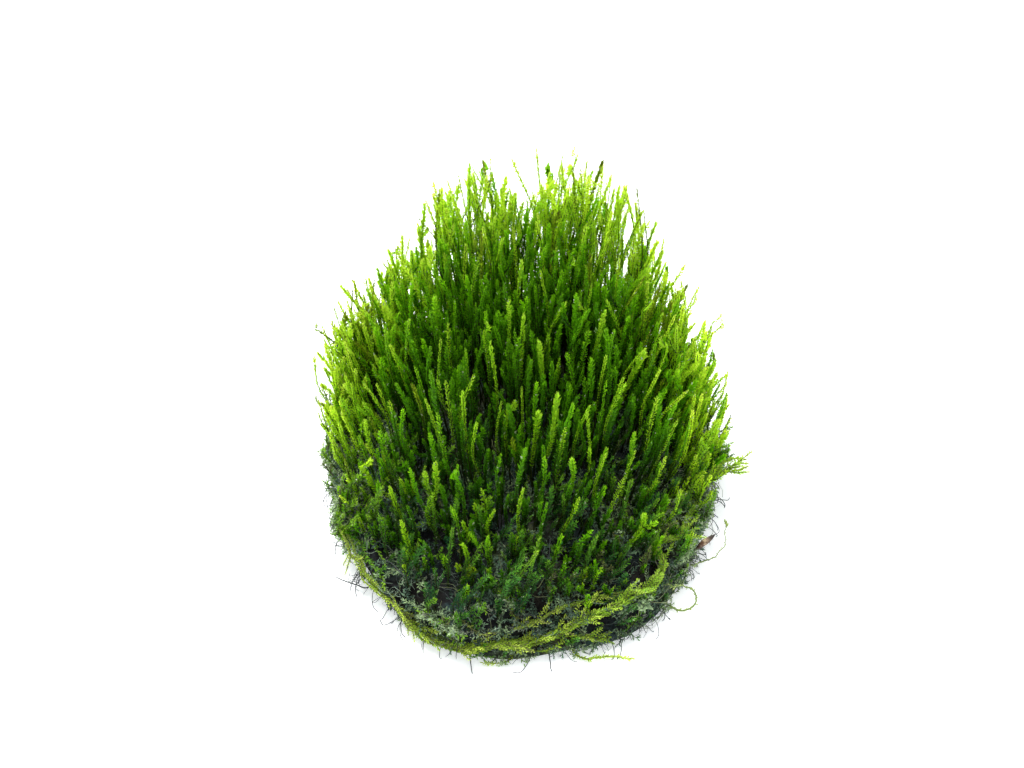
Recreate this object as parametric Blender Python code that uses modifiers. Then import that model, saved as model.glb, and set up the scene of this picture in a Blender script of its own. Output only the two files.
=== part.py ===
"""A portion of flame moss, lifted out of the water and standing on its own pad.

A round pad of old matted moss lies flat on the surface. Tufts of upright leafy shoots grow from it,
tallest at the back and shortest at the front. Yellow-green runners creep round its rim, and a few
loose strands and one dead leaf stick out over the surface. Metres, +Z up, the front is -Y.
"""

import math
import random

import bmesh
import bpy
from mathutils import Matrix, Vector, noise
from mathutils.bvhtree import BVHTree

MM = 0.001

# The pad of matted moss
PAD_RADIUS = 38.0 * MM
PAD_FOOT_RADIUS = 37.0 * MM
PAD_EDGE_HEIGHT = 7.5 * MM
PAD_TOP_HEIGHT = 13.5 * MM
PAD_SEGMENTS = 72
PAD_DOME_RINGS = 11
PAD_SIDE_RINGS = 4
DOME_ROUNDNESS = 0.8
DOME_RING_SPREAD = 0.85
SHOULDER_SHARE = 0.985
SIDE_ROUNDNESS = 1.2
BROAD_LUMP_SIZE = 7.0 * MM
BROAD_LUMP_HEIGHT = 2.25 * MM
SMALL_LUMP_SIZE = 3.15 * MM
SMALL_LUMP_HEIGHT = 1.35 * MM
SMALL_LUMP_SHIFT = Vector((7.3, 1.1, 4.2))
MIDDLE_LUMP_SHARE = 0.35
RIM_DRIFT = 1.8 * MM
RIM_DRIFT_SIZE = 19.0 * MM
FLAT_BELOW = 0.01 * MM
HOLLOW_STEEPNESS = 2.2

# Sunken dark hollows in the matted front slope: azimuth in degrees, distance from the middle, width, depth
HOLLOWS = (
    (-133, 33.0 * MM, 5.5 * MM, 2.6 * MM),
    (-108, 32.0 * MM, 5.0 * MM, 2.2 * MM),
    (-84, 33.0 * MM, 6.0 * MM, 2.8 * MM),
    (-58, 30.0 * MM, 5.0 * MM, 2.4 * MM),
    (-30, 33.5 * MM, 5.0 * MM, 2.2 * MM),
    (-166, 34.0 * MM, 4.5 * MM, 2.0 * MM),
)

# The upright shoots stand on a honeycomb of places, seven to a tuft
SHOOT_SPACING = 4.2 * MM
HONEYCOMB_TURN = math.radians(13)
TUFT_REGION_RADIUS = 34.5 * MM
TUFT_REGION_Y = -1.5 * MM
TUFT_REGION_FRONT = -31.0 * MM
CLEAR_OF_RUNNER = 3.2 * MM
PLACE_DRIFT = 0.55 * MM
CROWN_FOOT_RADIUS = 2.0 * MM
CROWN_RADIUS = 4.6 * MM
CROWN_INSET = 2.5 * MM
CROWN_HEIGHT = 2.5 * MM
SHOOT_RINGS = ((0.26, 1.05 * MM), (0.80, 1.1 * MM))

# The surface through the shoots' tips
TIP_HEIGHT = 40.0 * MM
TIP_RISE_TO_BACK = 0.21
TALLEST_SIDE = 1.5 * MM
SIDE_FALL = 21.5 * MM
SIDE_FALL_POWER = 2.9
CORNER_FALL = 0.65
FRONT_FALL = 22.0 * MM
FRONT_FALL_FROM = -5.0 * MM
TIP_DRIFT = 2.2 * MM
TALLEST_SHARE = 0.06
TALLEST_EXTRA = 4.0 * MM

# How far the shoots lean, as a share of their rise; the two fans give it for a metre off the middle
FAN_SIDEWAYS = 10.8
FAN_ALONG = 2.7
LEAN_BACK = 0.17
LEAN_RIGHT_IN_FRONT = 0.12
SWAY = 1.3 * MM
SWAY_ACROSS = (11 * MM, 17 * MM, 1.2)
SWAY_ALONG = (13 * MM, 15 * MM, 0.9)

# What the pieces keep between them
GAP = 0.35 * MM
STRAND_LIFT = 0.45 * MM
RUNNER_STEP = 2.2 * MM
STRAND_STEP = 1.76 * MM
ROOT_LENGTH = 1.2 * MM
CURVE_PARTS = 12

UP = Vector((0, 0, 1))


def polar(azimuth_deg, radius, z=0.0):
    """A point given by its direction round the pad, its distance from the middle and its height."""
    a = math.radians(azimuth_deg)
    return Vector((radius * math.cos(a), radius * math.sin(a), z))


def clear_scene():
    for obj in list(bpy.data.objects):
        bpy.data.objects.remove(obj, do_unlink=True)


def make_material(name, colour, roughness):
    mat = bpy.data.materials.new(name)
    mat.use_nodes = True
    shader = mat.node_tree.nodes["Principled BSDF"]
    shader.inputs["Base Color"].default_value = (*colour, 1.0)
    shader.inputs["Roughness"].default_value = roughness
    shader.inputs["Metallic"].default_value = 0.0
    return mat


def add_object(name, data, collection, root, material):
    obj = bpy.data.objects.new(name, data)
    data.materials.append(material)
    collection.objects.link(obj)
    obj.parent = root
    return obj


# Pad

def pad_profile():
    """Half of the pad's section, from the top of the dome over the rim and in along the flat underside."""
    points = []
    for i in range(PAD_DOME_RINGS):
        t = i / PAD_DOME_RINGS
        rise = math.cos(t * math.pi / 2) ** DOME_ROUNDNESS
        r = PAD_RADIUS * SHOULDER_SHARE * t ** DOME_RING_SPREAD
        points.append((r, PAD_EDGE_HEIGHT + (PAD_TOP_HEIGHT - PAD_EDGE_HEIGHT) * rise))
    for i in range(PAD_SIDE_RINGS):
        t = i / PAD_SIDE_RINGS
        bulge = math.cos(t * math.pi / 2)
        r = PAD_FOOT_RADIUS + (PAD_RADIUS - PAD_FOOT_RADIUS) * bulge
        points.append((r, PAD_EDGE_HEIGHT * (1 - t) ** SIDE_ROUNDNESS))
    points += [(PAD_FOOT_RADIUS, 0.0), (PAD_FOOT_RADIUS / 2, 0.0), (0.0, 0.0)]
    return points


def pad_blank():
    """The turned pad before its lumps, as a mesh."""
    profile = bpy.data.meshes.new("pad_profile")
    points = pad_profile()
    edges = [(i, i + 1) for i in range(len(points) - 1)]
    profile.from_pydata([(r, 0, z) for r, z in points], edges, [])
    holder = bpy.data.objects.new("pad_profile", profile)
    bpy.context.scene.collection.objects.link(holder)
    turn = holder.modifiers.new("turn", "SCREW")
    turn.steps = turn.render_steps = PAD_SEGMENTS
    turn.use_merge_vertices = True
    turn.merge_threshold = 0.01 * MM
    graph = bpy.context.evaluated_depsgraph_get()
    mesh = bpy.data.meshes.new_from_object(holder.evaluated_get(graph))
    bpy.data.objects.remove(holder)
    return mesh


def lump(place):
    """How far the matted surface stands out at a place, from broad lumps and smaller ones on them."""
    broad = noise.noise(place / BROAD_LUMP_SIZE)
    small = noise.noise(place / SMALL_LUMP_SIZE + SMALL_LUMP_SHIFT)
    return BROAD_LUMP_HEIGHT * broad + SMALL_LUMP_HEIGHT * small


def hollow_depth(place):
    """How far the front slope is sunk at a place."""
    depth = 0.0
    for azimuth, radius, width, deepest in HOLLOWS:
        off = (place.xy - polar(azimuth, radius).xy).length / width
        depth += deepest * math.exp(-HOLLOW_STEEPNESS * off * off)
    return depth


def build_pad(collection, root, material):
    mesh = pad_blank()
    bm = bmesh.new()
    bm.from_mesh(mesh)
    bmesh.ops.remove_doubles(bm, verts=bm.verts, dist=0.02 * MM)
    bmesh.ops.recalc_face_normals(bm, faces=bm.faces)
    outward = {v: v.normal.copy() for v in bm.verts}
    for v in bm.verts:
        to_rim = min(1.0, v.co.xy.length / PAD_FOOT_RADIUS)
        drift = RIM_DRIFT * noise.noise(v.co.xy.to_3d() / RIM_DRIFT_SIZE)
        sideways = v.co.xy.to_3d().normalized() * (drift * to_rim)
        if v.co.z > FLAT_BELOW:
            raised = min(1.0, v.co.z / (PAD_EDGE_HEIGHT / 2))
            lumpy = MIDDLE_LUMP_SHARE + (1 - MIDDLE_LUMP_SHARE) * to_rim ** 2
            v.co += outward[v] * (lump(v.co) * raised * lumpy)
        v.co += sideways
        if v.co.z > PAD_EDGE_HEIGHT * 0.7:
            v.co.z -= hollow_depth(v.co)
    bmesh.ops.triangulate(bm, faces=bm.faces)
    bm.to_mesh(mesh)
    bm.free()
    mesh.shade_smooth()
    return add_object("moss_pad", mesh, collection, root, material)


class PadSurface:
    """Answers where the finished pad's surface is."""

    def __init__(self, pad):
        bm = bmesh.new()
        bm.from_mesh(pad.data)
        self.tree = BVHTree.FromBMesh(bm)
        bm.free()

    def top(self, x, y):
        """Height of the pad's top over a place."""
        hit = self.tree.ray_cast(Vector((x, y, 0.1)), -UP)[0]
        return hit.z if hit else 0.0

    def highest_near(self, place, radius):
        """Height of the pad's top at its highest within a radius of a place."""
        rings = [place + polar(a, radius * share).xy for share in (0.5, 1) for a in range(0, 360, 30)]
        return max(self.top(*spot) for spot in [place, *rings])

    def laid(self, point, lift):
        """The point moved onto the pad's skin, at this distance from it."""
        found, normal, _, _ = self.tree.find_nearest(point)
        return found + normal * lift

    def kept_clear(self, point, lift):
        """The point pushed out of the pad where it is nearer than this, and left alone elsewhere."""
        found, normal, _, distance = self.tree.find_nearest(point)
        inside = (point - found).dot(normal) < 0
        return found + normal * lift if inside or distance < lift else point


# Upright shoots

def share_to_front(y):
    """0 from the middle to the back, and 1 at the front rim."""
    return max(0.0, FRONT_FALL_FROM - y) / (PAD_FOOT_RADIUS + FRONT_FALL_FROM)


def canopy_height(x, y):
    """How high shoots reach that grow at x and end at y: less to the sides, the corners and the front."""
    to_corner = 1 + CORNER_FALL * (y / PAD_FOOT_RADIUS) ** 2
    to_side = abs(x - TALLEST_SIDE) / PAD_FOOT_RADIUS * to_corner
    fall = SIDE_FALL * to_side ** SIDE_FALL_POWER + FRONT_FALL * share_to_front(y) ** 2
    return TIP_HEIGHT + TIP_RISE_TO_BACK * y - fall


def sway(place, share):
    """The lean that neighbouring shoots have in common, growing towards their tips."""
    length, other_length, mix = SWAY_ACROSS
    across = math.sin(place.x / length + mix * math.sin(place.y / other_length))
    length, other_length, mix = SWAY_ALONG
    along = math.cos(place.y / length + mix * math.sin(place.x / other_length))
    return Vector((across, 0.7 * along, 0)) * (SWAY * share * share)


def shoot_point(place, foot_z, tip_z, share):
    """A point on the shoot that grows over a place: share 0 is its foot and 1 its tip.

    The shoots fan out from the middle as they rise. They lean back, and those in front to the right.
    """
    rise = (tip_z - foot_z) * share
    outward = place.x * abs(place.x) / PAD_RADIUS
    lean_x = FAN_SIDEWAYS * outward + LEAN_RIGHT_IN_FRONT * share_to_front(place.y)
    lean_y = FAN_ALONG * place.y + LEAN_BACK
    point = Vector((place.x + lean_x * rise, place.y + lean_y * rise, 0)) + sway(place, share)
    point.z = foot_z + rise
    return point


def honeycomb(q, r):
    """A place of the honeycomb, from its two counting steps."""
    x = SHOOT_SPACING * (q + r / 2)
    y = SHOOT_SPACING * r * math.sqrt(3) / 2
    return Matrix.Rotation(HONEYCOMB_TURN, 2) @ Vector((x, y))


def on_runner(place):
    """Whether a place is where a runner lies, so that no tuft stands there."""
    laid = [polar(a, r * MM).xy for spec in RUNNERS.values() for a, r, z in spec["route"]]
    return min((place - spot).length for spot in laid) < CLEAR_OF_RUNNER


def tuft_centres():
    """Middles of the seven-place tufts that fill the region, from the back to the front."""
    centres = []
    for i in range(-6, 7):
        for j in range(-6, 7):
            q, r = 2 * i - j, i + 3 * j
            place = honeycomb(q, r)
            in_region = (place - Vector((0, TUFT_REGION_Y))).length < TUFT_REGION_RADIUS
            if in_region and place.y > TUFT_REGION_FRONT and not on_runner(place):
                centres.append((q, r, place))
    return sorted(centres, key=lambda c: (-round(c[2].y, 4), c[2].x))


def shape_ring(face, middle, radius, turn_about):
    """Puts a face's corners on a circle round middle, each in its own direction from turn_about."""
    for v in face.verts:
        away = v.co - turn_about
        angle = math.atan2(away.y, away.x)
        v.co = middle + Vector((math.cos(angle), math.sin(angle), 0)) * radius


def raise_shoot(bm, face, place, foot_z, tip_z):
    """Draws one pointed shoot out of a face of the crown."""
    for share, radius in SHOOT_RINGS:
        about = face.calc_center_median()
        face = bmesh.ops.extrude_discrete_faces(bm, faces=[face])["faces"][0]
        middle = shoot_point(place, foot_z, tip_z, share)
        shape_ring(face, middle, radius, about)
    point = bmesh.ops.poke(bm, faces=[face])["verts"][0]
    point.co = shoot_point(place, foot_z, tip_z, 1.0)


def build_tuft(name, cell, pad, rng, collection, root, material):
    q, r, centre = cell
    bm = bmesh.new()
    foot = bmesh.ops.create_circle(bm, cap_ends=True, segments=6, radius=CROWN_FOOT_RADIUS)
    turn = Matrix.Rotation(HONEYCOMB_TURN, 3, "Z")
    bmesh.ops.rotate(bm, verts=foot["verts"], matrix=turn)
    bmesh.ops.translate(bm, verts=foot["verts"], vec=centre.to_3d())
    top_z = pad.highest_near(centre, CROWN_RADIUS) + CROWN_HEIGHT
    for v in bm.verts:
        v.co.z = pad.highest_near(v.co.xy, CROWN_FOOT_RADIUS / 2) + GAP
    crown = bmesh.ops.extrude_face_region(bm, geom=list(bm.faces))["geom"]
    crown_face = next(g for g in crown if isinstance(g, bmesh.types.BMFace))
    for v in crown_face.verts:
        away = (v.co.xy - centre) * (CROWN_RADIUS / CROWN_FOOT_RADIUS)
        v.co = (centre + away).to_3d() + UP * top_z
    ring = bmesh.ops.inset_individual(bm, faces=[crown_face], thickness=CROWN_INSET)["faces"]
    bmesh.ops.recalc_face_normals(bm, faces=bm.faces)
    steps = [(0, 0), (1, 0), (0, 1), (-1, 1), (-1, 0), (0, -1), (1, -1)]
    places = [honeycomb(q + a, r + b) for a, b in steps]
    for face in [crown_face, *ring]:
        middle = face.calc_center_median().xy
        nearest = min(places, key=lambda p: (p - middle).length)
        drift = Vector((rng.uniform(-1, 1), rng.uniform(-1, 1))) * PLACE_DRIFT
        over = shoot_point(nearest.to_3d(), top_z, canopy_height(*nearest), 1.0)
        tip_z = canopy_height(nearest.x, over.y) + rng.uniform(-1, 1) * TIP_DRIFT
        if rng.random() < TALLEST_SHARE:
            tip_z += TALLEST_EXTRA
        raise_shoot(bm, face, (nearest + drift).to_3d(), top_z, tip_z)
    bmesh.ops.triangulate(bm, faces=bm.faces)
    mesh = bpy.data.meshes.new(name)
    bm.to_mesh(mesh)
    bm.free()
    return add_object(name, mesh, collection, root, material)


# Runners, strands and the dead leaf

def smooth_route(points, step):
    """Points at an even step along a smooth curve through the given ones."""
    ends = [points[0] * 2 - points[1], *points, points[-1] * 2 - points[-2]]
    fine = []
    for a, b, c, d in zip(ends, ends[1:], ends[2:], ends[3:]):
        for i in range(CURVE_PARTS):
            t = i / CURVE_PARTS
            rest = (c - a) * t + (a * 2 - b * 5 + c * 4 - d) * t ** 2
            fine.append(b + (rest + (b * 3 - a - c * 3 + d) * t ** 3) * 0.5)
    fine.append(points[-1])
    length = sum((b - a).length for a, b in zip(fine, fine[1:]))
    count = max(3, round(length / step))
    kept, travelled = [fine[0]], 0.0
    for a, b in zip(fine, fine[1:]):
        travelled += (b - a).length
        if travelled >= length / count * len(kept) - 1e-9:
            kept.append(b)
    return kept


def strand_curve(name, route, radii):
    """A round strand along a route, with its thickness given at both ends and in the middle."""
    curve = bpy.data.curves.new(name, "CURVE")
    curve.dimensions = "3D"
    curve.bevel_depth = max(radii)
    curve.bevel_resolution = 1
    curve.use_fill_caps = True
    spline = curve.splines.new("POLY")
    spline.points.add(len(route) - 1)
    first, middle, last = (r / max(radii) for r in radii)
    for i, (point, place) in enumerate(zip(spline.points, route)):
        t = i / (len(route) - 1)
        point.co = (*place, 1)
        half = (first, middle, t * 2) if t < 0.5 else (middle, last, t * 2 - 1)
        point.radius = half[0] + (half[1] - half[0]) * half[2]
    return curve


# Each runner lies on the pad: azimuth in degrees, distance from the middle and height, in millimetres.
# radii are its half-thicknesses in millimetres at its start, middle and end.
RUNNERS = {
    "runner_left": {
        "route": [(-152, 38, 8.5), (-146, 38.5, 8.5), (-139, 38.5, 8), (-133, 38.5, 6.5), (-126.5, 38.8, 4)],
        "radii": (0.5, 1.0, 0.8),
    },
    "runner_front": {
        "route": [
            (-122, 39, 2.2), (-116, 40, 1.9), (-109, 40, 1.9), (-102, 39.5, 2.4), (-95, 39, 3.6),
            (-86, 38.8, 5.6), (-78, 38.5, 7), (-70, 37.5, 7), (-62, 37, 8), (-53, 36.7, 8.2),
            (-45, 36, 8), (-38, 34.3, 8), (-30, 33.9, 8), (-22, 34.8, 8),
        ],
        "radii": (0.8, 1.2, 0.9),
    },
    "runner_front_fork": {
        "route": [(-75, 39, 3.9), (-71.5, 39, 3.4), (-67.5, 39.5, 2), (-63.5, 40.3, 1.4)],
        "radii": (0.7, 0.75, 0.4),
    },
    "runner_upper": {
        "route": [
            (-93, 36, 7), (-87, 35.3, 8), (-81, 34.1, 8), (-76, 33.6, 8), (-71, 33.4, 8.6),
            (-66, 33.2, 8.6),
        ],
        "radii": (0.5, 0.85, 0.6),
    },
    "runner_right": {
        "route": [(-15.5, 34.9, 8.3), (-12, 36, 8), (-8.6, 37, 8)],
        "radii": (0.8, 1.0, 0.6),
        "free": [(-7.5, 39.4, 9.2), (-6.8, 41.6, 10.2), (-6.2, 44.1, 10.4)],
    },
}

# Each loose strand grows out of the pad's skin beside its first point, or at both ends, and runs free:
# x, y and z in millimetres, and half-thicknesses in millimetres.
STRANDS = {
    "strand_floor_front": {
        "route": [
            (-0.6, -38.6, 0.8), (-0.9, -40.2, 0.8), (-2.6, -41.4, 0.75), (-4.8, -41.6, 0.75),
            (-6.9, -41.2, 0.75),
        ],
        "radii": (0.5, 0.55, 0.3),
    },
    "strand_floor_right": {
        "route": [
            (9, -38.2, 0.8), (11, -39.9, 0.8), (14.5, -40.2, 0.8), (17.5, -39.6, 0.8),
            (21.4, -40.2, 0.8),
        ],
        "radii": (0.5, 0.6, 0.3),
    },
    "strand_loop": {
        "route": [
            (27.4, -27.4, 5), (28.8, -27.6, 5.2), (30.6, -27.2, 4.8), (32.4, -27.2, 3.6), (33.1, -28.4, 2.3),
            (33.2, -29.5, 1.3), (31.8, -30.4, 0.9), (30, -30.4, 0.9), (28.2, -29.2, 1.1),
        ],
        "radii": (0.5, 0.55, 0.35),
        "both_ends": True,
    },
    "strand_right": {
        "route": [(32, -22.4, 2.6), (34.2, -20.8, 2), (37.6, -19.2, 2.2), (39.3, -16.6, 3.2), (39.3, -13, 5)],
        "radii": (0.45, 0.35, 0.3),
    },
}

THREADS = {
    "thread_front": {
        "route": [(-9, -37.4, 0.5), (-8.7, -39.5, 0.45), (-8.5, -41.4, 0.4), (-8.1, -43.6, 0.4)],
        "radii": (0.2, 0.2, 0.2),
    },
    "thread_front_loop": {
        "route": [(4.4, -38.8, 1), (4.8, -41, 0.5), (5.6, -42.7, 0.4), (6.8, -42.5, 0.4), (7.2, -38.6, 1)],
        "radii": (0.2, 0.2, 0.2),
        "both_ends": True,
    },
    "thread_left": {
        "route": [(-27.6, -26.8, 2), (-30.3, -26, 1.2), (-32.6, -25, 0.6), (-34.8, -23.8, 0.4)],
        "radii": (0.25, 0.2, 0.2),
    },
}


def rooted(points, pad):
    """The points with the first one moved to the pad's skin and a second one straight out from it."""
    foot = pad.laid(points[0], GAP)
    return [foot, pad.laid(points[0], GAP + ROOT_LENGTH), *points[1:]]


def build_runner(name, spec, pad, collection, root, material):
    """A leafy runner that follows the pad's skin, and may leave it at its end."""
    lift = max(spec["radii"]) * MM + STRAND_LIFT
    laid = smooth_route([polar(a, r * MM, z * MM) for a, r, z in spec["route"]], RUNNER_STEP)
    laid = [pad.laid(p, lift) for p in laid]
    laid = [(a + b * 2 + c) / 4 for a, b, c in zip([laid[0], *laid], laid, [*laid[1:], laid[-1]])]
    route = [pad.kept_clear(p, lift) for p in laid]
    if "free" in spec:
        free = [polar(a, r * MM, z * MM) for a, r, z in spec["free"]]
        route += smooth_route([route[-1], *free], RUNNER_STEP)[1:]
    curve = strand_curve(name, route, [r * MM for r in spec["radii"]])
    return add_object(name, curve, collection, root, material)


def build_strand(name, spec, pad, collection, root, material):
    """A loose strand beside the pad, lying on the surface or arching over it."""
    points = rooted([Vector(p) * MM for p in spec["route"]], pad)
    feet = 1
    if spec.get("both_ends"):
        points = rooted(points[::-1], pad)[::-1]
        feet = 2
    route = smooth_route(points, STRAND_STEP)
    lift = max(spec["radii"]) * MM + STRAND_LIFT
    for i in range(1, len(route) + 1 - feet):
        route[i] = pad.kept_clear(route[i], lift)
    curve = strand_curve(name, route, [r * MM for r in spec["radii"]])
    return add_object(name, curve, collection, root, material)


DEAD_LEAF_FROM = Vector((32.6, -20.2, 3.6)) * MM
DEAD_LEAF_TO = Vector((37.4, -17.6, 8.2)) * MM
DEAD_LEAF_WIDTH = 1.6 * MM
DEAD_LEAF_THICKNESS = 0.6 * MM


def build_dead_leaf(pad, collection, root, material):
    """One rolled brown leaf: a long lens, flattened and pointed at both ends."""
    bm = bmesh.new()
    bmesh.ops.create_uvsphere(bm, u_segments=8, v_segments=8, radius=1.0)
    start = pad.laid(DEAD_LEAF_FROM, GAP)
    along = DEAD_LEAF_TO - start
    for v in bm.verts:
        slim = 1 - 0.35 * v.co.z ** 2
        v.co.x *= DEAD_LEAF_WIDTH / 2 * slim
        v.co.y *= DEAD_LEAF_THICKNESS / 2 * slim
        v.co.z *= along.length / 2
    aim = along.to_track_quat("Z", "Y").to_matrix()
    bmesh.ops.rotate(bm, verts=bm.verts, matrix=aim)
    bmesh.ops.translate(bm, verts=bm.verts, vec=(start + DEAD_LEAF_TO) / 2)
    mesh = bpy.data.meshes.new("dead_leaf")
    bm.to_mesh(mesh)
    bm.free()
    return add_object("dead_leaf", mesh, collection, root, material)


def centre_over_origin(root):
    """Moves the whole clump so that the middle of its box stands over the origin."""
    bpy.context.view_layer.update()
    graph = bpy.context.evaluated_depsgraph_get()
    corners = []
    for obj in root.children:
        mesh = obj.evaluated_get(graph).to_mesh()
        corners += [obj.matrix_world @ v.co for v in mesh.vertices]
        obj.evaluated_get(graph).to_mesh_clear()
    low = [min(c[i] for c in corners) for i in range(3)]
    high = [max(c[i] for c in corners) for i in range(3)]
    root.location = (-(low[0] + high[0]) / 2, -(low[1] + high[1]) / 2, -low[2])


def main():
    clear_scene()
    collection = bpy.data.collections.new("flame_moss")
    bpy.context.scene.collection.children.link(collection)
    root = bpy.data.objects.new("flame_moss_root", None)
    collection.objects.link(root)
    old_moss = make_material("old_matted_moss", (0.022, 0.035, 0.020), 0.85)
    shoot_green = make_material("leafy_shoot", (0.105, 0.300, 0.012), 0.55)
    runner_green = make_material("yellow_green_runner", (0.300, 0.400, 0.040), 0.6)
    strand_green = make_material("pale_strand", (0.200, 0.280, 0.060), 0.6)
    thread_dark = make_material("dark_thread", (0.020, 0.028, 0.028), 0.5)
    dead_brown = make_material("dead_leaf", (0.120, 0.075, 0.045), 0.7)
    pad = build_pad(collection, root, old_moss)
    surface = PadSurface(pad)
    rng = random.Random(11)
    for i, cell in enumerate(tuft_centres()):
        build_tuft(f"shoot_tuft_{i + 1:02d}", cell, surface, rng, collection, root, shoot_green)
    for name, spec in RUNNERS.items():
        build_runner(name, spec, surface, collection, root, runner_green)
    for name, spec in STRANDS.items():
        build_strand(name, spec, surface, collection, root, strand_green)
    for name, spec in THREADS.items():
        build_strand(name, spec, surface, collection, root, thread_dark)
    build_dead_leaf(surface, collection, root, dead_brown)
    centre_over_origin(root)


main()
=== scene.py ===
"""The looks of a clump of flame moss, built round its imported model.

Every tuft is a piece of upright shoots with real leaves, and more shoots lean out of the rim or stand
alone. The pad is a matted core under short old bits, spiky sprigs, creeping stems, fine fuzz and threads.
The runners, strands, loose threads and dead leaf follow their solids.
"""

import math

import bmesh
import bpy
import numpy as np
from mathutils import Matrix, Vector, noise
from mathutils.bvhtree import BVHTree


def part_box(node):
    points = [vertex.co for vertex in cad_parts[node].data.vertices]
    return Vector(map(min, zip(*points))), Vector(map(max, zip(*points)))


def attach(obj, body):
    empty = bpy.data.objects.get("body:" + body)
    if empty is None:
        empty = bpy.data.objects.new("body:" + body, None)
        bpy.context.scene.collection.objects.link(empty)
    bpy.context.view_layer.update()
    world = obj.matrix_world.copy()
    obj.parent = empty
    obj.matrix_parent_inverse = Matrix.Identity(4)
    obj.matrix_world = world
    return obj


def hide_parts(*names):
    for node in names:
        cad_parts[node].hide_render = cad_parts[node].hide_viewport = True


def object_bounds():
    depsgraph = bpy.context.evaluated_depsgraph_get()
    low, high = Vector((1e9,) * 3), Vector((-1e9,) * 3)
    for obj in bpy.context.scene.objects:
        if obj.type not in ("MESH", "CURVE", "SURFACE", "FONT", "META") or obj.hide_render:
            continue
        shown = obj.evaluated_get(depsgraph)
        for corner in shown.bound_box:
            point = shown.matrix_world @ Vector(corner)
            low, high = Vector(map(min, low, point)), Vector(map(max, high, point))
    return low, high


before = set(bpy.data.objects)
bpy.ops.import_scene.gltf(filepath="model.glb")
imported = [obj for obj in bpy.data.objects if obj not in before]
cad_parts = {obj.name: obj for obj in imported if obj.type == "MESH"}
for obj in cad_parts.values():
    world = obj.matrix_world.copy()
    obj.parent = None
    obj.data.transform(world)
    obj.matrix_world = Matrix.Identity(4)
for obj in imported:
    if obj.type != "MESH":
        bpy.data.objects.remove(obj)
cad_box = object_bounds()

MM = 0.001
UP = np.array((0.0, 0.0, 1.0))
# A vector times this lies level
LEVEL = np.array((1, 1, 0))

# The leaves may stand a little proud of the solids' box, and none goes farther
FARTHEST_LOW = np.array(cad_box[0]) - np.array((2.2, 2.2, 0.0)) * MM
FARTHEST_HIGH = np.array(cad_box[1]) + np.array((2.2, 2.2, 1.3)) * MM

# Where the photograph was taken from: its angle, its distance from the pad and its focal length
VIEW_ELEVATION = math.radians(57)
VIEW_DISTANCE = 280 * MM
FOCAL_PIXELS = 1400
IMAGE_WIDTH = 1024
IMAGE_HEIGHT = 768
PAD_PIXEL_X = 524
PAD_PIXEL_Y = 476

pad_low, pad_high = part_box("moss_pad")
PAD_CENTRE = np.array(((pad_low.x + pad_high.x) / 2, (pad_low.y + pad_high.y) / 2, 0.0))
PAD_RADIUS = (pad_high.x - pad_low.x) / 2
LOWEST = 0.35 * MM

# Colours are a map of their own: across it from a stem's foot to its tip, and up it from shoot to shoot
COLOUR_MAP = "OFBake"
COLOUR_REACH = (10 * MM, 45 * MM)
REACH_TO_LENGTH = 1.25
MAP_EDGES = (0.002, 0.998)
STEM_BAND = 0.10
STEM_TONES = (0.1, 0.7)
LEAF_TONES = (0.02, 0.965)
LEAF_SHADING = 0.06
SHADE_ACROSS = 0.01
AGED_TONE = 0.96
# A few leaves are drawn pale: partly worn leaves and partly painted glints of wet leaves
PALE_LEVEL = 0.995
PALE_SHARE = 0.006

# The core's own record of how thickly it is grown over, which also sets its painted shade and light, and the
# dead leaf's of how far along it is
GROWN = "grown_over_and_shade"
ALONG = "along_leaf"


# Shapes that are repeated

def as_arrays(bm):
    """A small shape's points and triangles, to be copied many times."""
    bmesh.ops.triangulate(bm, faces=bm.faces)
    bm.verts.index_update()
    points = np.array([v.co for v in bm.verts])
    faces = np.array([[v.index for v in f.verts] for f in bm.faces])
    bm.free()
    return points, faces


LEAF_WIDEST = 0.42
LEAF_HOLLOW = 0.14
LEAF_BENT_BACK = 0.10


def leaf_shape():
    """A pointed leaf, a unit long along +Y and a unit wide, hollow above and bent back at its tip."""
    bm = bmesh.new()
    bmesh.ops.create_circle(bm, cap_ends=True, segments=4, radius=0.5)
    bmesh.ops.translate(bm, verts=bm.verts, vec=(0, 0.5, 0))
    foot = min(bm.verts, key=lambda v: v.co.y)
    tip = max(bm.verts, key=lambda v: v.co.y)
    bmesh.ops.connect_verts(bm, verts=[foot, tip])
    for v in bm.verts:
        if v not in (foot, tip):
            v.co.y = LEAF_WIDEST
            v.co.z = -LEAF_HOLLOW
    tip.co.z = LEAF_BENT_BACK
    return as_arrays(bm)


def stem_shape(sides, rings):
    """A closed tube a unit thick and a unit long along +Z, with rings along it so that it can bend."""
    bm = bmesh.new()
    bmesh.ops.create_cone(bm, cap_ends=True, segments=sides, radius1=1, radius2=1, depth=1)
    bmesh.ops.translate(bm, verts=bm.verts, vec=(0, 0, 0.5))
    long_edges = [e for e in bm.edges if abs(e.verts[0].co.z - e.verts[1].co.z) > 0.5]
    bmesh.ops.subdivide_edges(bm, edges=long_edges, cuts=rings - 2, use_grid_fill=True)
    return as_arrays(bm)


LEAF = leaf_shape()
SHOOT_STEM = stem_shape(3, 10)
SHORT_STEM = stem_shape(3, 6)
LONG_STEM = stem_shape(6, 36)
HAIR = stem_shape(3, 4)
LONG_HAIR = stem_shape(3, 12)


# Growing the shapes along lines

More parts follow.
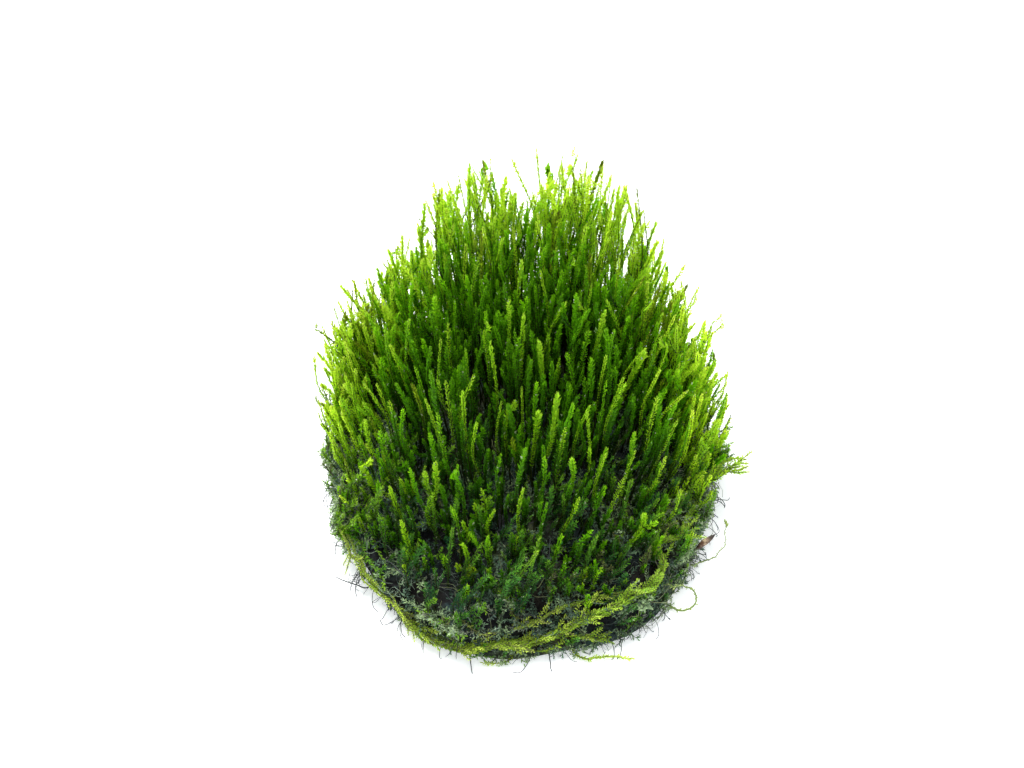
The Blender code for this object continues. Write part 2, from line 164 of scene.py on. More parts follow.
class Growth:
    """What grows on one piece: copies of the shapes, joined in one mesh."""

    def __init__(self, seed, longest_reach=COLOUR_REACH[1]):
        self.rng = np.random.default_rng(seed)
        self.longest_reach = longest_reach
        self.points = []
        self.faces = []
        self.shades = []
        self.count = 0

    def add(self, points, faces, shades):
        """Adds copies of a shape: their points, and the places of those on the colour map."""
        copies, size = points.shape[:2]
        starts = self.count + size * np.arange(copies)
        self.faces.append((faces[None] + starts[:, None, None]).reshape(-1, 3))
        self.points.append(points.reshape(-1, 3))
        self.shades.append(shades.reshape(-1, 2))
        self.count += copies * size

    def along_map(self, course, below_tip):
        """How far along the colour map a point is that lies this far below a stem's tip."""
        reach = np.clip(REACH_TO_LENGTH * course.length, COLOUR_REACH[0], self.longest_reach)
        return 1 - below_tip / reach

    def join(self, name):
        """One mesh of all that has grown."""
        faces = np.concatenate(self.faces)
        points = np.clip(np.concatenate(self.points), FARTHEST_LOW, FARTHEST_HIGH)
        mesh = bpy.data.meshes.new(name)
        mesh.from_pydata(points.tolist(), [], faces.tolist())
        shades = np.clip(np.concatenate(self.shades), *MAP_EDGES)[faces.ravel()]
        mesh.uv_layers.new(name=COLOUR_MAP).uv.foreach_set("vector", shades.ravel())
        mesh.shade_smooth()
        return mesh


def unit(vectors):
    """The vectors made a unit long."""
    return vectors / np.maximum(np.linalg.norm(vectors, axis=-1, keepdims=True), 1e-12)


def across(vectors, axis):
    """The vectors turned square to the axis, a unit long."""
    return unit(vectors - (vectors * axis).sum(-1, keepdims=True) * axis)


def ease(value, low, high):
    """0 up to low, 1 from high, and a smooth rise between them."""
    share = np.clip((value - low) / (high - low), 0, 1)
    return share * share * (3 - 2 * share)


def raised(points, lowest):
    """A copy of the points, with none of them lower than this."""
    points = np.array(points)
    points[:, 2] = np.maximum(points[:, 2], lowest)
    return points


def way_out(angle):
    """The level direction at an angle round the pad."""
    return np.array((math.cos(angle), math.sin(angle), 0.0))


def shoot_tone(rng, middle, spread, lowest, highest, aged=0.0):
    """A shoot's place among the shades of green, or that of an aged one, which a share of them are."""
    tone = float(np.clip(rng.normal(middle, spread), lowest, highest))
    return AGED_TONE if aged and rng.random() < aged else tone


class Course:
    """The line that a stem follows, and which way the flat of its leaves faces along it."""

    def __init__(self, knots, face, twist=0.0, steps=32):
        knots = np.asarray(knots, float)
        ends = np.vstack((2 * knots[0] - knots[1], knots, 2 * knots[-1] - knots[-2]))
        at = np.linspace(0, len(knots) - 1, steps)
        k = np.minimum(at.astype(int), len(knots) - 2)
        t = (at - k)[:, None]
        a, b, c, d = ends[k], ends[k + 1], ends[k + 2], ends[k + 3]
        bend = (c - a) * t + (2 * a - 5 * b + 4 * c - d) * t**2 + (3 * b - a - 3 * c + d) * t**3
        self.points = b + 0.5 * bend
        gone = np.linalg.norm(np.diff(self.points, axis=0), axis=1)
        self.length = gone.sum()
        self.share = np.concatenate(([0], np.cumsum(gone))) / self.length
        self.along = unit(np.gradient(self.points, self.share, axis=0))
        flat = across(np.broadcast_to(face, self.along.shape), self.along)
        side = np.cross(self.along, flat)
        turn = (twist * self.share)[:, None]
        self.flat = np.cos(turn) * flat + np.sin(turn) * side
        self.side = np.cross(self.along, self.flat)

    def at(self, share):
        """Places along the line, with its direction, side and flat there."""
        def read(values):
            return np.stack([np.interp(share, self.share, values[:, i]) for i in range(3)], -1)
        return read(self.points), unit(read(self.along)), unit(read(self.side)), unit(read(self.flat))

    def at_one(self, share):
        """The same, for a single place."""
        return (found[0] for found in self.at(np.array([share])))


def grow_stem(growth, course, shape, radius, tip_radius, tone):
    """A tapered stem along a course."""
    points, faces = shape
    share = points[:, 2]
    place, _, side, flat = course.at(share)
    thick = (radius + (tip_radius - radius) * share)[:, None]
    placed = place + (points[:, :1] * side + points[:, 1:2] * flat) * thick
    u = growth.along_map(course, (1 - share) * course.length)
    level = STEM_BAND * (STEM_TONES[0] + STEM_TONES[1] * tone)
    shades = np.stack((u, level + SHADE_ACROSS * points[:, 0]), -1)
    growth.add(placed[None], faces, shades[None])


# How large a leaf has grown, at these distances in millimetres below its stem's tip, all but the lowest
GROWN_BELOW_TIP = (0, 0.6, 1.6, 4.0, 14)
GROWN_SIZES = (0.52, 0.84, 1.0, 0.96)
LEAF_SIZES = (0.8, 1.2)
FACING_SCATTER = 0.18


def grow_leaves(growth, course, kind, tone, first, size):
    """Leaves in four rows along a course, flattened to its two sides.

    kind says how they grow. tone is their place on the colour map, or one for each end of the course.
    first is the share of the course that stays bare.
    """
    rng = growth.rng
    count = max(4, round(kind["per_mm"] * course.length * (1 - first) / MM))
    steps = (np.arange(count) + rng.uniform(0.1, 0.9, count)) / count
    share = first + (1 - first) * steps ** kind["crowding"]
    row = np.arange(count) % 4
    beside = row % 2 == 0
    angle = row * math.pi / 2 + rng.normal(0, kind["scatter"], count)
    place, along, side, flat = course.at(share)
    out = np.cos(angle)[:, None] * side + np.sin(angle)[:, None] * flat
    below_tip = (1 - share) * course.length
    closed = 1 - ease(below_tip, 0, kind["bud"])
    lean = np.where(beside, kind["lean"], kind["lean"] * 0.5) * (1 - 0.6 * closed)
    lean = np.radians(lean + rng.normal(0, kind["unruly"], count))[:, None]
    aim = np.cos(lean) * along + np.sin(lean) * out
    above = np.where(beside[:, None], flat * rng.choice((-1, 1), count)[:, None] + 0.5 * out, out)
    above = across(above + rng.normal(0, FACING_SCATTER, (count, 3)), aim)
    width = np.cross(aim, above)
    grown = np.interp(below_tip / MM, GROWN_BELOW_TIP, (*GROWN_SIZES, kind["low_size"]))
    reach = size * kind["leaf"] * grown * rng.uniform(*LEAF_SIZES, count)
    points, faces = LEAF
    placed = (place + out * (kind["stem"] * 0.7))[:, None] + reach[:, None, None] * (
        points[None, :, :1] * width[:, None] * kind["breadth"]
        + points[None, :, 1:2] * aim[:, None]
        + points[None, :, 2:] * above[:, None]
    )
    u = growth.along_map(course, below_tip) + rng.normal(0, 0.012, count)
    u = u[:, None] + LEAF_SHADING * (points[None, :, 1] - 1)
    tones = np.interp(share, (0, 1), np.broadcast_to(tone, 2))
    level = STEM_BAND + (1 - STEM_BAND) * np.clip(tones + rng.normal(0, 0.03, count), *LEAF_TONES)
    # A few leaves go pale: partly worn leaves and partly painted glints of wet leaves
    level[rng.random(count) < PALE_SHARE] = PALE_LEVEL
    v = level[:, None] + SHADE_ACROSS * points[None, :, 0]
    growth.add(placed, faces, np.stack((u, v), -1))


# How the leaves of each kind of growth stand: leaves a millimetre, their length, breadth and lean in degrees
UPRIGHT = {
    "per_mm": 7.4, "leaf": 1.00 * MM, "breadth": 0.44, "lean": 29, "scatter": 0.20, "unruly": 7,
    "crowding": 0.88, "bud": 2.0 * MM, "stem": 0.15 * MM, "low_size": 0.66,
}
THIN = {
    "per_mm": 7.0, "leaf": 0.72 * MM, "breadth": 0.44, "lean": 30, "scatter": 0.30, "unruly": 8,
    "crowding": 0.92, "bud": 1.6 * MM, "stem": 0.12 * MM, "low_size": 0.85,
}
SPIKY = {
    "per_mm": 7.6, "leaf": 0.90 * MM, "breadth": 0.32, "lean": 44, "scatter": 0.40, "unruly": 12,
    "crowding": 0.92, "bud": 1.6 * MM, "stem": 0.13 * MM, "low_size": 0.74,
}
CREEPING = {
    "per_mm": 11.0, "leaf": 0.72 * MM, "breadth": 0.42, "lean": 34, "scatter": 0.60, "unruly": 12,
    "crowding": 1.0, "bud": 1.0 * MM, "stem": 0.13 * MM, "low_size": 0.95,
}
MATTED = {
    "per_mm": 5.0, "leaf": 0.80 * MM, "breadth": 0.40, "lean": 52, "scatter": 0.7, "unruly": 15,
    "crowding": 1.0, "bud": 0.8 * MM, "stem": 0.09 * MM, "low_size": 1.0,
}
SCALY = {
    "per_mm": 3.0, "leaf": 0.60 * MM, "breadth": 0.42, "lean": 34, "scatter": 0.7, "unruly": 15,
    "crowding": 1.0, "bud": 0.8 * MM, "stem": 0.22 * MM, "low_size": 1.0,
}


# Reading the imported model

MERGE_DISTANCE = 0.002 * MM


def nodes_named(start):
    """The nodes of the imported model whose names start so, in order."""
    return sorted(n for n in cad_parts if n.startswith(start))


def merged_copy(node):
    """A CAD node's surface with its loose triangles joined."""
    bm = bmesh.new()
    bm.from_mesh(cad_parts[node].data)
    bmesh.ops.remove_doubles(bm, verts=bm.verts, dist=MERGE_DISTANCE)
    return bm


def shoot_tips(node):
    """The points of a tuft's shoots: every vertex that is higher than all round it."""
    bm = merged_copy(node)
    tips = [
        np.array(v.co)
        for v in bm.verts
        if v.link_edges and all(e.other_vert(v).co.z < v.co.z for e in v.link_edges)
    ]
    bm.free()
    return tips


def centre_line(node, step=1.5 * MM):
    """The line through the middle of a CAD strand: the means of its points, by how far along it they are."""
    bm = merged_copy(node)
    bmesh.ops.subdivide_edges(bm, edges=bm.edges, cuts=2)
    middle = sum((v.co for v in bm.verts), Vector()) / len(bm.verts)
    start = max(bm.verts, key=lambda v: (v.co - middle).length)
    gone = {start: 0.0}
    front = [start]
    while front:
        reached = []
        for v in front:
            for e in v.link_edges:
                other = e.other_vert(v)
                far = gone[v] + e.calc_length()
                if far < gone.get(other, 1e9) - 1e-7:
                    gone[other] = far
                    reached.append(other)
        front = reached
    places = np.array([v.co for v in gone])
    distance = np.array(list(gone.values()))
    bm.free()
    line = []
    for at in np.arange(0.5 * step, distance.max(), step):
        near = np.exp(-(((distance - at) / (0.6 * step)) ** 2))
        line.append((places * near[:, None]).sum(0) / near.sum())
    return np.array(line)


CORE_CUTS = 3
SAG_HEIGHT = 5.5 * MM
DENT_HEIGHT = 13 * MM
# How far out of the CAD pad the mat's foot sags, in millimetres, at directions round it in degrees
SAG_DIRECTIONS = (-180, -165, -150, -135, -126, -104, -93, -70, -56, -38, -30, -18, 150, 180)
SAG_OUT = (-1.0, -2.2, -1.6, 0.0, 1.5, 2.0, 3.2, 3.6, 2.6, 2.2, 1.5, 0.0, 0.0, -1.0)


def sag(place):
    """How far and which way the mat's foot sags out at a place, or its side is dented in."""
    off = np.array(place) - PAD_CENTRE
    angle = math.degrees(math.atan2(off[1], off[0]))
    far = np.interp(angle, SAG_DIRECTIONS, SAG_OUT) * MM
    top = SAG_HEIGHT if far > 0 else DENT_HEIGHT
    return unit(off * LEVEL) * far * (1 - ease(off[2], 0.8 * MM, top))


def pad_shape():
    """The CAD pad made finer, with its foot sagged out and its left side dented in."""
    bm = merged_copy("moss_pad")
    bmesh.ops.subdivide_edges(bm, edges=bm.edges, cuts=CORE_CUTS, use_grid_fill=True)
    for v in bm.verts:
        v.co += Vector(sag(v.co))
    bm.normal_update()
    return bm


pad_tree = BVHTree.FromBMesh(pad_shape())
FAR_ABOVE = 0.1


def pad_top(x, y):
    """How high the pad's skin is at a place."""
    hit = pad_tree.ray_cast(Vector((x, y, FAR_ABOVE)), Vector((0, 0, -1)))[0]
    return hit.z if hit else 0.0


def skin(point, lift=0.0):
    """The place on the pad's skin nearest to a point, raised off it, and the way out of the skin there."""
    place, outward, _, _ = pad_tree.find_nearest(Vector(point))
    outward = np.array(outward)
    raised = np.array(place) + outward * lift
    raised[2] = max(raised[2], LOWEST)
    return raised, outward


def line_to_right(node):
    """A runner's line from its left end to its right one."""
    line = centre_line(node)
    return line if line[0, 0] < line[-1, 0] else line[::-1]


RUNNERS = nodes_named("runner")
RUNNER_LIFT = 0.9 * MM
# How far down the slope a runner lies from its CAD line, at places from left to right, both in millimetres
RUNNER_SLID = {
    "runner_front": (
        (-16, -12, -9, -6, -3, 0, 6, 8, 11.5, 14, 31), (0, -0.8, -1.4, -1.2, 0, 1.4, 2.4, 2.6, 1.0, 1.6, 1.9),
    ),
    "runner_front_fork": ((10, 16), (0.8, 1.4)),
    "runner_upper": ((-1, 12), (1.8, 1.8)),
}


def laid_out(node):
    """A runner's line, smoothed and laid on the pad's skin, or lifted off it where the runner isn't slid."""
    line = line_to_right(node)
    if node not in RUNNER_SLID:
        return line + np.array([0.5 * sag(place) for place in line]) + UP * RUNNER_LIFT
    laid = []
    for place in line:
        slid = np.interp((place[0] - PAD_CENTRE[0]) / MM, *RUNNER_SLID[node]) * MM
        outward = skin(place)[1]
        laid.append(skin(place - across(UP, outward) * slid, RUNNER_LIFT)[0])
    laid = np.array(laid)
    laid[1:-1] = (laid[:-2] + laid[1:-1] * 2 + laid[2:]) / 4
    return laid


RUNNER_LINES = {node: laid_out(node) for node in RUNNERS}


def from_runners(place):
    """How far a place is from the nearest runner."""
    return min(np.linalg.norm(line - place, axis=1).min() for line in RUNNER_LINES.values())


# Materials

class Look:
    """A material and the nodes that make it."""

    def __init__(self, name):
        self.material = bpy.data.materials.new(name)
        self.material.use_nodes = True
        self.nodes = self.material.node_tree.nodes
        self.shader = self.nodes["Principled BSDF"]

    def feed(self, socket, value):
        """Links a socket to another one, or gives it a plain value."""
        if isinstance(value, bpy.types.NodeSocket):
            self.material.node_tree.links.new(value, socket)
        elif socket.type == "RGBA":
            socket.default_value = (*value, 1)
        else:
            socket.default_value = value

    def surface(self, inputs):
        """Sets the surface's inputs, given by their names, to sockets or plain values."""
        for name, value in inputs.items():
            self.feed(self.shader.inputs[name], value)

    def ramp(self, value, stops):
        """A colour ramp from (place, colour) stops, read at a value."""
        node = self.nodes.new("ShaderNodeValToRGB")
        elements = node.color_ramp.elements
        while len(elements) < len(stops):
            elements.new(0.5)
        for element, (place, colour) in zip(elements, stops):
            element.position = place
            element.color = (*colour, 1)
        self.feed(node.inputs[0], value)
        return node.outputs[0]

    def levels(self, value, *stops):
        """A ramp of grey levels from (place, level) stops, read at a value."""
        return self.ramp(value, [(place, (level, level, level)) for place, level in stops])

    def map_places(self):
        """The piece's colour map, and its two directions apart."""
        uv = self.nodes.new("ShaderNodeUVMap")
        uv.uv_map = COLOUR_MAP
        split = self.nodes.new("ShaderNodeSeparateXYZ")
        self.feed(split.inputs[0], uv.outputs["UV"])
        return uv.outputs["UV"], split.outputs[0], split.outputs[1]

    def object_places(self):
        return self.nodes.new("ShaderNodeTexCoord").outputs["Object"]

    def attribute(self, name):
        """A number that the piece keeps for each of its points."""
        node = self.nodes.new("ShaderNodeAttribute")
        node.attribute_name = name
        return node.outputs["Fac"]

    def mixed(self, factor, first, second, blend="MIX"):
        """A mix of two colours, each a socket or a plain value."""
        node = self.nodes.new("ShaderNodeMix")
        node.data_type = "RGBA"
        node.blend_type = blend
        for i, value in ((0, factor), (6, first), (7, second)):
            self.feed(node.inputs[i], value)
        return node.outputs[2]

    def product(self, first, second):
        return self.mixed(1.0, first, second, "MULTIPLY")

    def noise(self, vector, scale, detail=2.0):
        node = self.nodes.new("ShaderNodeTexNoise")
        node.inputs["Scale"].default_value = scale
        node.inputs["Detail"].default_value = detail
        self.feed(node.inputs["Vector"], vector)
        return node.outputs["Fac"]

    def bump(self, height, strength, distance):
        node = self.nodes.new("ShaderNodeBump")
        node.inputs["Strength"].default_value = strength
        node.inputs["Distance"].default_value = distance
        self.feed(node.inputs["Height"], height)
        self.feed(self.shader.inputs["Normal"], node.outputs[0])

    def let_light_through(self, colour, share):
        """Mixes the surface with light that comes through from behind."""
        behind = self.nodes.new("ShaderNodeBsdfTranslucent")
        self.feed(behind.inputs["Color"], colour)
        mix = self.nodes.new("ShaderNodeMixShader")
        for i, value in enumerate((share, self.shader.outputs[0], behind.outputs[0])):
            self.feed(mix.inputs[i], value)
        self.feed(self.nodes["Material Output"].inputs["Surface"], mix.outputs[0])


# Where the next of a leaf's four runs of colour takes over on the map, and where the pale leaves begin:
# partly worn leaves and partly painted glints of wet leaves
RUN_STEPS = ((0.14, 0.48), (0.52, 0.86), (0.91, 0.94))
WORN_AND_GLINT_STEP = (0.978, 0.982)
WORN_LEAF_AND_GLINT = (0.50, 0.60, 0.36)
# How fine the leaves' patches, wet places and bumps are on the map
PATCH_SCALE = 36.0
WETNESS_SCALE = 60.0
BUMP_SCALE = 140.0


def leafy_material(name, shades, bark, through, roughness, gloss=0.22):
    """Leaves whose colour runs from a foot darkened with painted shade to a fresh tip.

    shades are four such runs of colour: of shoots in painted shade, of fresh ones, of glowing ones in painted
    light, and of aged ones.
    """
    look = Look(name)
    uv, to_tip, tone = look.map_places()
    colour, *others = [look.ramp(to_tip, run) for run in shades]
    for (low, high), other in zip(RUN_STEPS, others):
        colour = look.mixed(look.levels(tone, (low, 0), (high, 1)), colour, other)
    leaf_by_leaf = look.levels(look.noise(uv, PATCH_SCALE), (0.30, 0.62), (0.70, 1.38))
    colour = look.product(colour, leaf_by_leaf)
    # Pale leaves: partly worn ones and partly painted glints of wet leaves
    worn_and_highlight = look.levels(tone, (WORN_AND_GLINT_STEP[0], 0), (WORN_AND_GLINT_STEP[1], 1))
    colour = look.mixed(worn_and_highlight, colour, WORN_LEAF_AND_GLINT)
    is_leaf = look.levels(tone, (STEM_BAND - 0.01, 0), (STEM_BAND, 1))
    colour = look.mixed(is_leaf, bark, colour)
    wetness = look.noise(uv, WETNESS_SCALE)
    wet_and_dry = look.levels(wetness, (0.35, roughness - 0.16), (0.65, roughness + 0.12))
    look.surface({"Base Color": colour, "Roughness": wet_and_dry, "Specular IOR Level": gloss})
    look.bump(look.noise(uv, BUMP_SCALE), strength=0.25, distance=0.05 * MM)
    look.let_light_through(colour, through)
    return look.material


def shoot_material():
    # Each run darkens toward the foot with painted shade. The first run is painted shade for shoots standing
    # low in the clump, and the third is painted glow for shoots lit from behind.
    painted_shade_run = (
        (0.00, (0.002, 0.007, 0.001)), (0.40, (0.007, 0.034, 0.002)), (0.62, (0.019, 0.092, 0.002)),
        (0.84, (0.045, 0.185, 0.002)), (0.95, (0.085, 0.285, 0.004)), (1.00, (0.140, 0.385, 0.008)),
    )
    fresh = (
        (0.00, (0.005, 0.015, 0.001)), (0.40, (0.020, 0.090, 0.002)), (0.62, (0.066, 0.250, 0.002)),
        (0.84, (0.145, 0.440, 0.003)), (0.95, (0.245, 0.590, 0.007)), (1.00, (0.370, 0.710, 0.026)),
    )
    glowing = (
        (0.00, (0.090, 0.210, 0.006)), (0.40, (0.285, 0.570, 0.012)), (0.62, (0.450, 0.770, 0.020)),
        (0.84, (0.590, 0.870, 0.034)), (0.95, (0.740, 0.940, 0.070)), (1.00, (0.860, 0.970, 0.190)),
    )
    aged = (
        (0.00, (0.006, 0.012, 0.003)), (0.60, (0.040, 0.120, 0.004)), (0.90, (0.240, 0.380, 0.010)),
        (0.965, (0.180, 0.240, 0.015)), (0.985, (0.080, 0.080, 0.020)), (1.00, (0.045, 0.040, 0.022)),
    )
    bark = (0.040, 0.055, 0.008)
    return leafy_material("moss_leaf", (painted_shade_run, fresh, glowing, aged), bark, through=0.52, roughness=0.42)


def sprig_material():
    painted_shade_run = (
        (0.00, (0.004, 0.011, 0.010)), (0.60, (0.008, 0.040, 0.022)), (0.88, (0.018, 0.105, 0.032)),
        (1.00, (0.050, 0.220, 0.038)),
    )
    fresh = (
        (0.00, (0.010, 0.028, 0.012)), (0.60, (0.032, 0.130, 0.019)), (0.88, (0.085, 0.290, 0.021)),
        (1.00, (0.220, 0.510, 0.040)),
    )
    # The glowing run is painted light, for sprigs at the side rims
    glowing = (
        (0.00, (0.024, 0.050, 0.006)), (0.60, (0.100, 0.250, 0.010)), (0.88, (0.240, 0.500, 0.016)),
        (1.00, (0.460, 0.720, 0.040)),
    )
    aged = ((0.00, (0.024, 0.030, 0.014)), (0.70, (0.080, 0.105, 0.034)), (1.00, (0.210, 0.240, 0.085)))
    bark = (0.050, 0.055, 0.016)
    return leafy_material("sprig_leaf", (painted_shade_run, fresh, glowing, aged), bark, through=0.35, roughness=0.45)


def runner_material():
    painted_shade_run = ((0.00, (0.022, 0.070, 0.010)), (0.60, (0.045, 0.150, 0.018)), (1.00, (0.110, 0.300, 0.035)))
    fresh = ((0.00, (0.085, 0.220, 0.014)), (0.60, (0.200, 0.450, 0.022)), (1.00, (0.400, 0.700, 0.050)))
    # The glowing run is bright so that the runner stays light where it lies in shade: partly its own
    # yellow-green and partly painted light
    glowing = ((0.00, (0.220, 0.350, 0.028)), (0.60, (0.420, 0.600, 0.046)), (1.00, (0.680, 0.850, 0.120)))
    aged = ((0.00, (0.080, 0.090, 0.030)), (1.00, (0.240, 0.260, 0.090)))
    bark = (0.150, 0.180, 0.040)
    return leafy_material("runner_leaf", (painted_shade_run, fresh, glowing, aged), bark, through=0.35, roughness=0.48)


def mat_material():
    painted_shade_run = ((0.00, (0.004, 0.010, 0.011)), (0.60, (0.009, 0.026, 0.024)), (1.00, (0.020, 0.066, 0.044)))
    fresh = ((0.00, (0.022, 0.048, 0.034)), (0.60, (0.052, 0.110, 0.068)), (1.00, (0.120, 0.220, 0.130)))
    # The glowing run is partly the mat's own pale colour and partly painted light, for bits on lumps and at
    # the side rims
    glowing = ((0.00, (0.110, 0.170, 0.075)), (0.60, (0.230, 0.340, 0.145)), (1.00, (0.430, 0.580, 0.280)))
    aged = ((0.00, (0.080, 0.090, 0.060)), (1.00, (0.300, 0.335, 0.240)))
    bark = (0.034, 0.038, 0.024)
    shades = (painted_shade_run, fresh, glowing, aged)
    return leafy_material("matted_leaf", shades, bark, through=0.25, roughness=0.60, gloss=0.5)


def old_moss_material():
    """The matted core: nearly black in its hollows with painted shade, lighter on its lumps with painted
    light, and blue-green to olive where it is grown over.
    """
    look = Look("old_moss")
    place = look.object_places()
    grown = look.attribute(GROWN)
    blue_green = look.ramp(grown, (
        (0.06, (0.003, 0.004, 0.005)), (0.25, (0.009, 0.018, 0.019)), (0.53, (0.026, 0.053, 0.047)),
        (1.00, (0.085, 0.130, 0.090)),
    ))
    olive = look.ramp(grown, (
        (0.06, (0.005, 0.004, 0.003)), (0.25, (0.018, 0.018, 0.008)), (0.53, (0.055, 0.070, 0.022)),
        (1.00, (0.150, 0.190, 0.060)),
    ))
    which = look.levels(look.noise(place, 110.0), (0.42, 0), (0.60, 1))
    colour = look.mixed(which, blue_green, olive)
    fine = look.noise(place, 1500.0, 4.0)
    specks = look.levels(fine, (0.35, 0.35), (0.68, 2.1))
    look.surface({"Base Color": look.product(colour, specks), "Roughness": 0.85, "Specular IOR Level": 0.3})
    look.bump(fine, strength=0.9, distance=0.4 * MM)
    return look.material


def thread_material(name, dark, pale, roughness):
    """Threads and hairs, each in its own shade between two."""
    look = Look(name)
    uv, _, tone = look.map_places()
    colour = look.ramp(tone, ((0.08, dark), (0.90, pale)))
    patches = look.levels(look.noise(uv, 90.0), (0.32, 0.7), (0.68, 1.3))
    colour = look.product(colour, patches)
    look.surface({"Base Color": colour, "Roughness": roughness, "Specular IOR Level": 0.35})
    return look.material


def dead_leaf_material():
    """Brown dead leaf, dark at its point, with cream patches along its middle: partly wear and partly a
    painted highlight.
    """
    look = Look("dead_leaf_brown")
    place = look.object_places()
    along = look.attribute(ALONG)
    brown = look.ramp(along, (
        (0.00, (0.060, 0.070, 0.020)), (0.34, (0.040, 0.014, 0.006)), (0.52, (0.080, 0.034, 0.016)),
        (0.80, (0.040, 0.024, 0.015)), (1.00, (0.012, 0.008, 0.006)),
    ))
    # Cream patches along the middle: partly wear and partly a painted highlight
    worn_and_highlight = look.levels(along, (0.38, 0), (0.50, 1), (0.66, 1), (0.80, 0))
    patches = look.levels(look.noise(place, 900.0, 3.0), (0.46, 0), (0.56, 1))
    cream = look.product(worn_and_highlight, patches)
    look.surface({"Base Color": look.mixed(cream, brown, (0.340, 0.250, 0.160)), "Roughness": 0.55})
    look.bump(look.noise(place, 3000.0), strength=0.6, distance=0.1 * MM)
    return look.material


MOSS_LEAF = shoot_material()
SPRIG_LEAF = sprig_material()
RUNNER_LEAF = runner_material()
MAT_LEAF = mat_material()
OLD_MOSS = old_moss_material()
DARK_THREAD = thread_material("dark_thread", (0.010, 0.014, 0.016), (0.060, 0.072, 0.070), 0.5)
GREY_FUZZ = thread_material("grey_fuzz", (0.010, 0.019, 0.020), (0.300, 0.400, 0.280), 0.7)
PALE_THREAD = thread_material("pale_thread", (0.060, 0.080, 0.030), (0.240, 0.280, 0.120), 0.5)
PALE_STRAND = thread_material("pale_strand", (0.160, 0.230, 0.050), (0.330, 0.420, 0.110), 0.5)
DEAD_BROWN = dead_leaf_material()


def add_piece(name, mesh, material, slot, *nodes):
    """A finished mesh as a piece that rides on the clump, and stands for these CAD nodes."""
    obj = bpy.data.objects.new(name, mesh)
    mesh.materials.append(material)
    bpy.context.scene.collection.objects.link(obj)
    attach(obj, "root")
    if nodes:
        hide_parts(*nodes)
    return obj


# Upright shoots

FAN_SIDEWAYS = 8.0
FAN_ALONG = 3.5
LEAN_BACK = 0.18
LEAN_RIGHT_IN_FRONT = 0.24
PAD_TOP = 14 * MM
RIM_TOP = 10 * MM
MORE_AT_FRONT = 2.0
MORE_AT_BACK = 7.4
MAIN_SCATTER = 0.8 * MM
PLACE_SCATTER = 1.8 * MM
FARTHEST_SCATTER = 3.2 * MM
LOWERED_SHARE = 0.35
FORKED_SHARE = 0.22
KINKED_SHARE = 0.08
KINK_BELOW_TIP = 3.2 * MM
FORK_LENGTHS = (3.0, 7.5)
SPIKY_BELOW = 20 * MM
SPIKY_SHARE = 0.4
SHORTEST_SHOOT = 5 * MM
SHOWN_LENGTH = 15 * MM
FOOT_SINK = 0.4 * MM
FOOT_REGION = 0.93 * PAD_RADIUS
PROUD = 0.8 * MM
TUFT_KINDS = (UPRIGHT, UPRIGHT, UPRIGHT, UPRIGHT, THIN, SPIKY)
BACK_RISE = 3.0 * MM
CANOPY_FALL = 1.2
TUFTS = nodes_named("shoot_tuft")
MAIN_TIPS = {node: shoot_tips(node) for node in TUFTS}
ALL_TIPS = np.array([tip for tips in MAIN_TIPS.values() for tip in tips])


def canopy_top(place):
    """How high shoots may stand over a place, by the tufts round it."""
    far = np.linalg.norm(ALL_TIPS[:, :2] - place[:2], axis=1)
    return (ALL_TIPS[:, 2] - CANOPY_FALL * far).max() + BACK_RISE


def share_to_back(place):
    """0 at the front rim and 1 at the back rim."""
    return np.clip((place[1] - PAD_CENTRE[1]) / PAD_RADIUS * 0.5 + 0.5, 0, 1)


def share_in_front(place):
    """0 from the middle to the back, and 1 at the front rim."""
    return ease(PAD_CENTRE[1] - place[1], 0.1 * PAD_RADIUS, PAD_RADIUS)


def share_aside(place):
    """0 in the middle and 1 at the left and right rims."""
    return ease(abs(place[0] - PAD_CENTRE[0]), 0.45 * PAD_RADIUS, 0.95 * PAD_RADIUS)


def share_pale_and_lit(place):
    """How much paler the old moss is drawn: most at the left rim, less at the right and front, little at the
    back. This is partly the moss's own pale colour and partly painted light on the side rims.
    """
    off = (np.array(place) - PAD_CENTRE)[:2] / PAD_RADIUS
    to_left = ease(-off[0], -0.1, 0.3)
    aside = share_aside(place) * (0.55 + 0.45 * to_left)
    rim = ease(np.linalg.norm(off), 0.84, 1.02) * (0.25 + 0.40 * to_left)
    return max(aside, rim) * (1 - 0.65 * ease(off[1], 0.1, 0.6))


def share_lit(place):
    """How much a tip stands in the light from behind: 1 at the back and side rims, 0 inside."""
    off = (place[:2] - PAD_CENTRE[:2]) / PAD_RADIUS
    return ease(np.linalg.norm(off), 0.48, 0.95) * ease(off[1], -0.70, 0.0)


def shoot_course(rng, foot, tip, kinked=False):
    """An upright shoot's line: nearly straight, with a slight bow and wave, or kinked at its top."""
    height = tip[2] - foot[2]
    sideways = rng.normal(0, 1, 3) * LEVEL
    bow = sideways * (0.028 + 0.025 * share_to_back(tip)) * height
    wave = rng.normal(0, 1, 3) * LEVEL * 0.016 * height
    knots = [
        foot,
        foot + (tip - foot) * 0.33 + bow * 0.8 + wave,
        foot + (tip - foot) * 0.66 + bow - wave,
        tip,
    ]
    if kinked:
        over = unit(rng.normal(0, 1, 3) * (1, 0.4, 0))
        knots[-1] = tip - UP * KINK_BELOW_TIP
        knots += [tip - UP * 2.0 * MM + over * 0.9 * MM, tip + over * rng.uniform(0.2, 1.8) * MM]
    face = np.array((rng.normal(), rng.normal() - 0.6, 0.0))
    return Course(knots, face, rng.normal(0, 0.9))


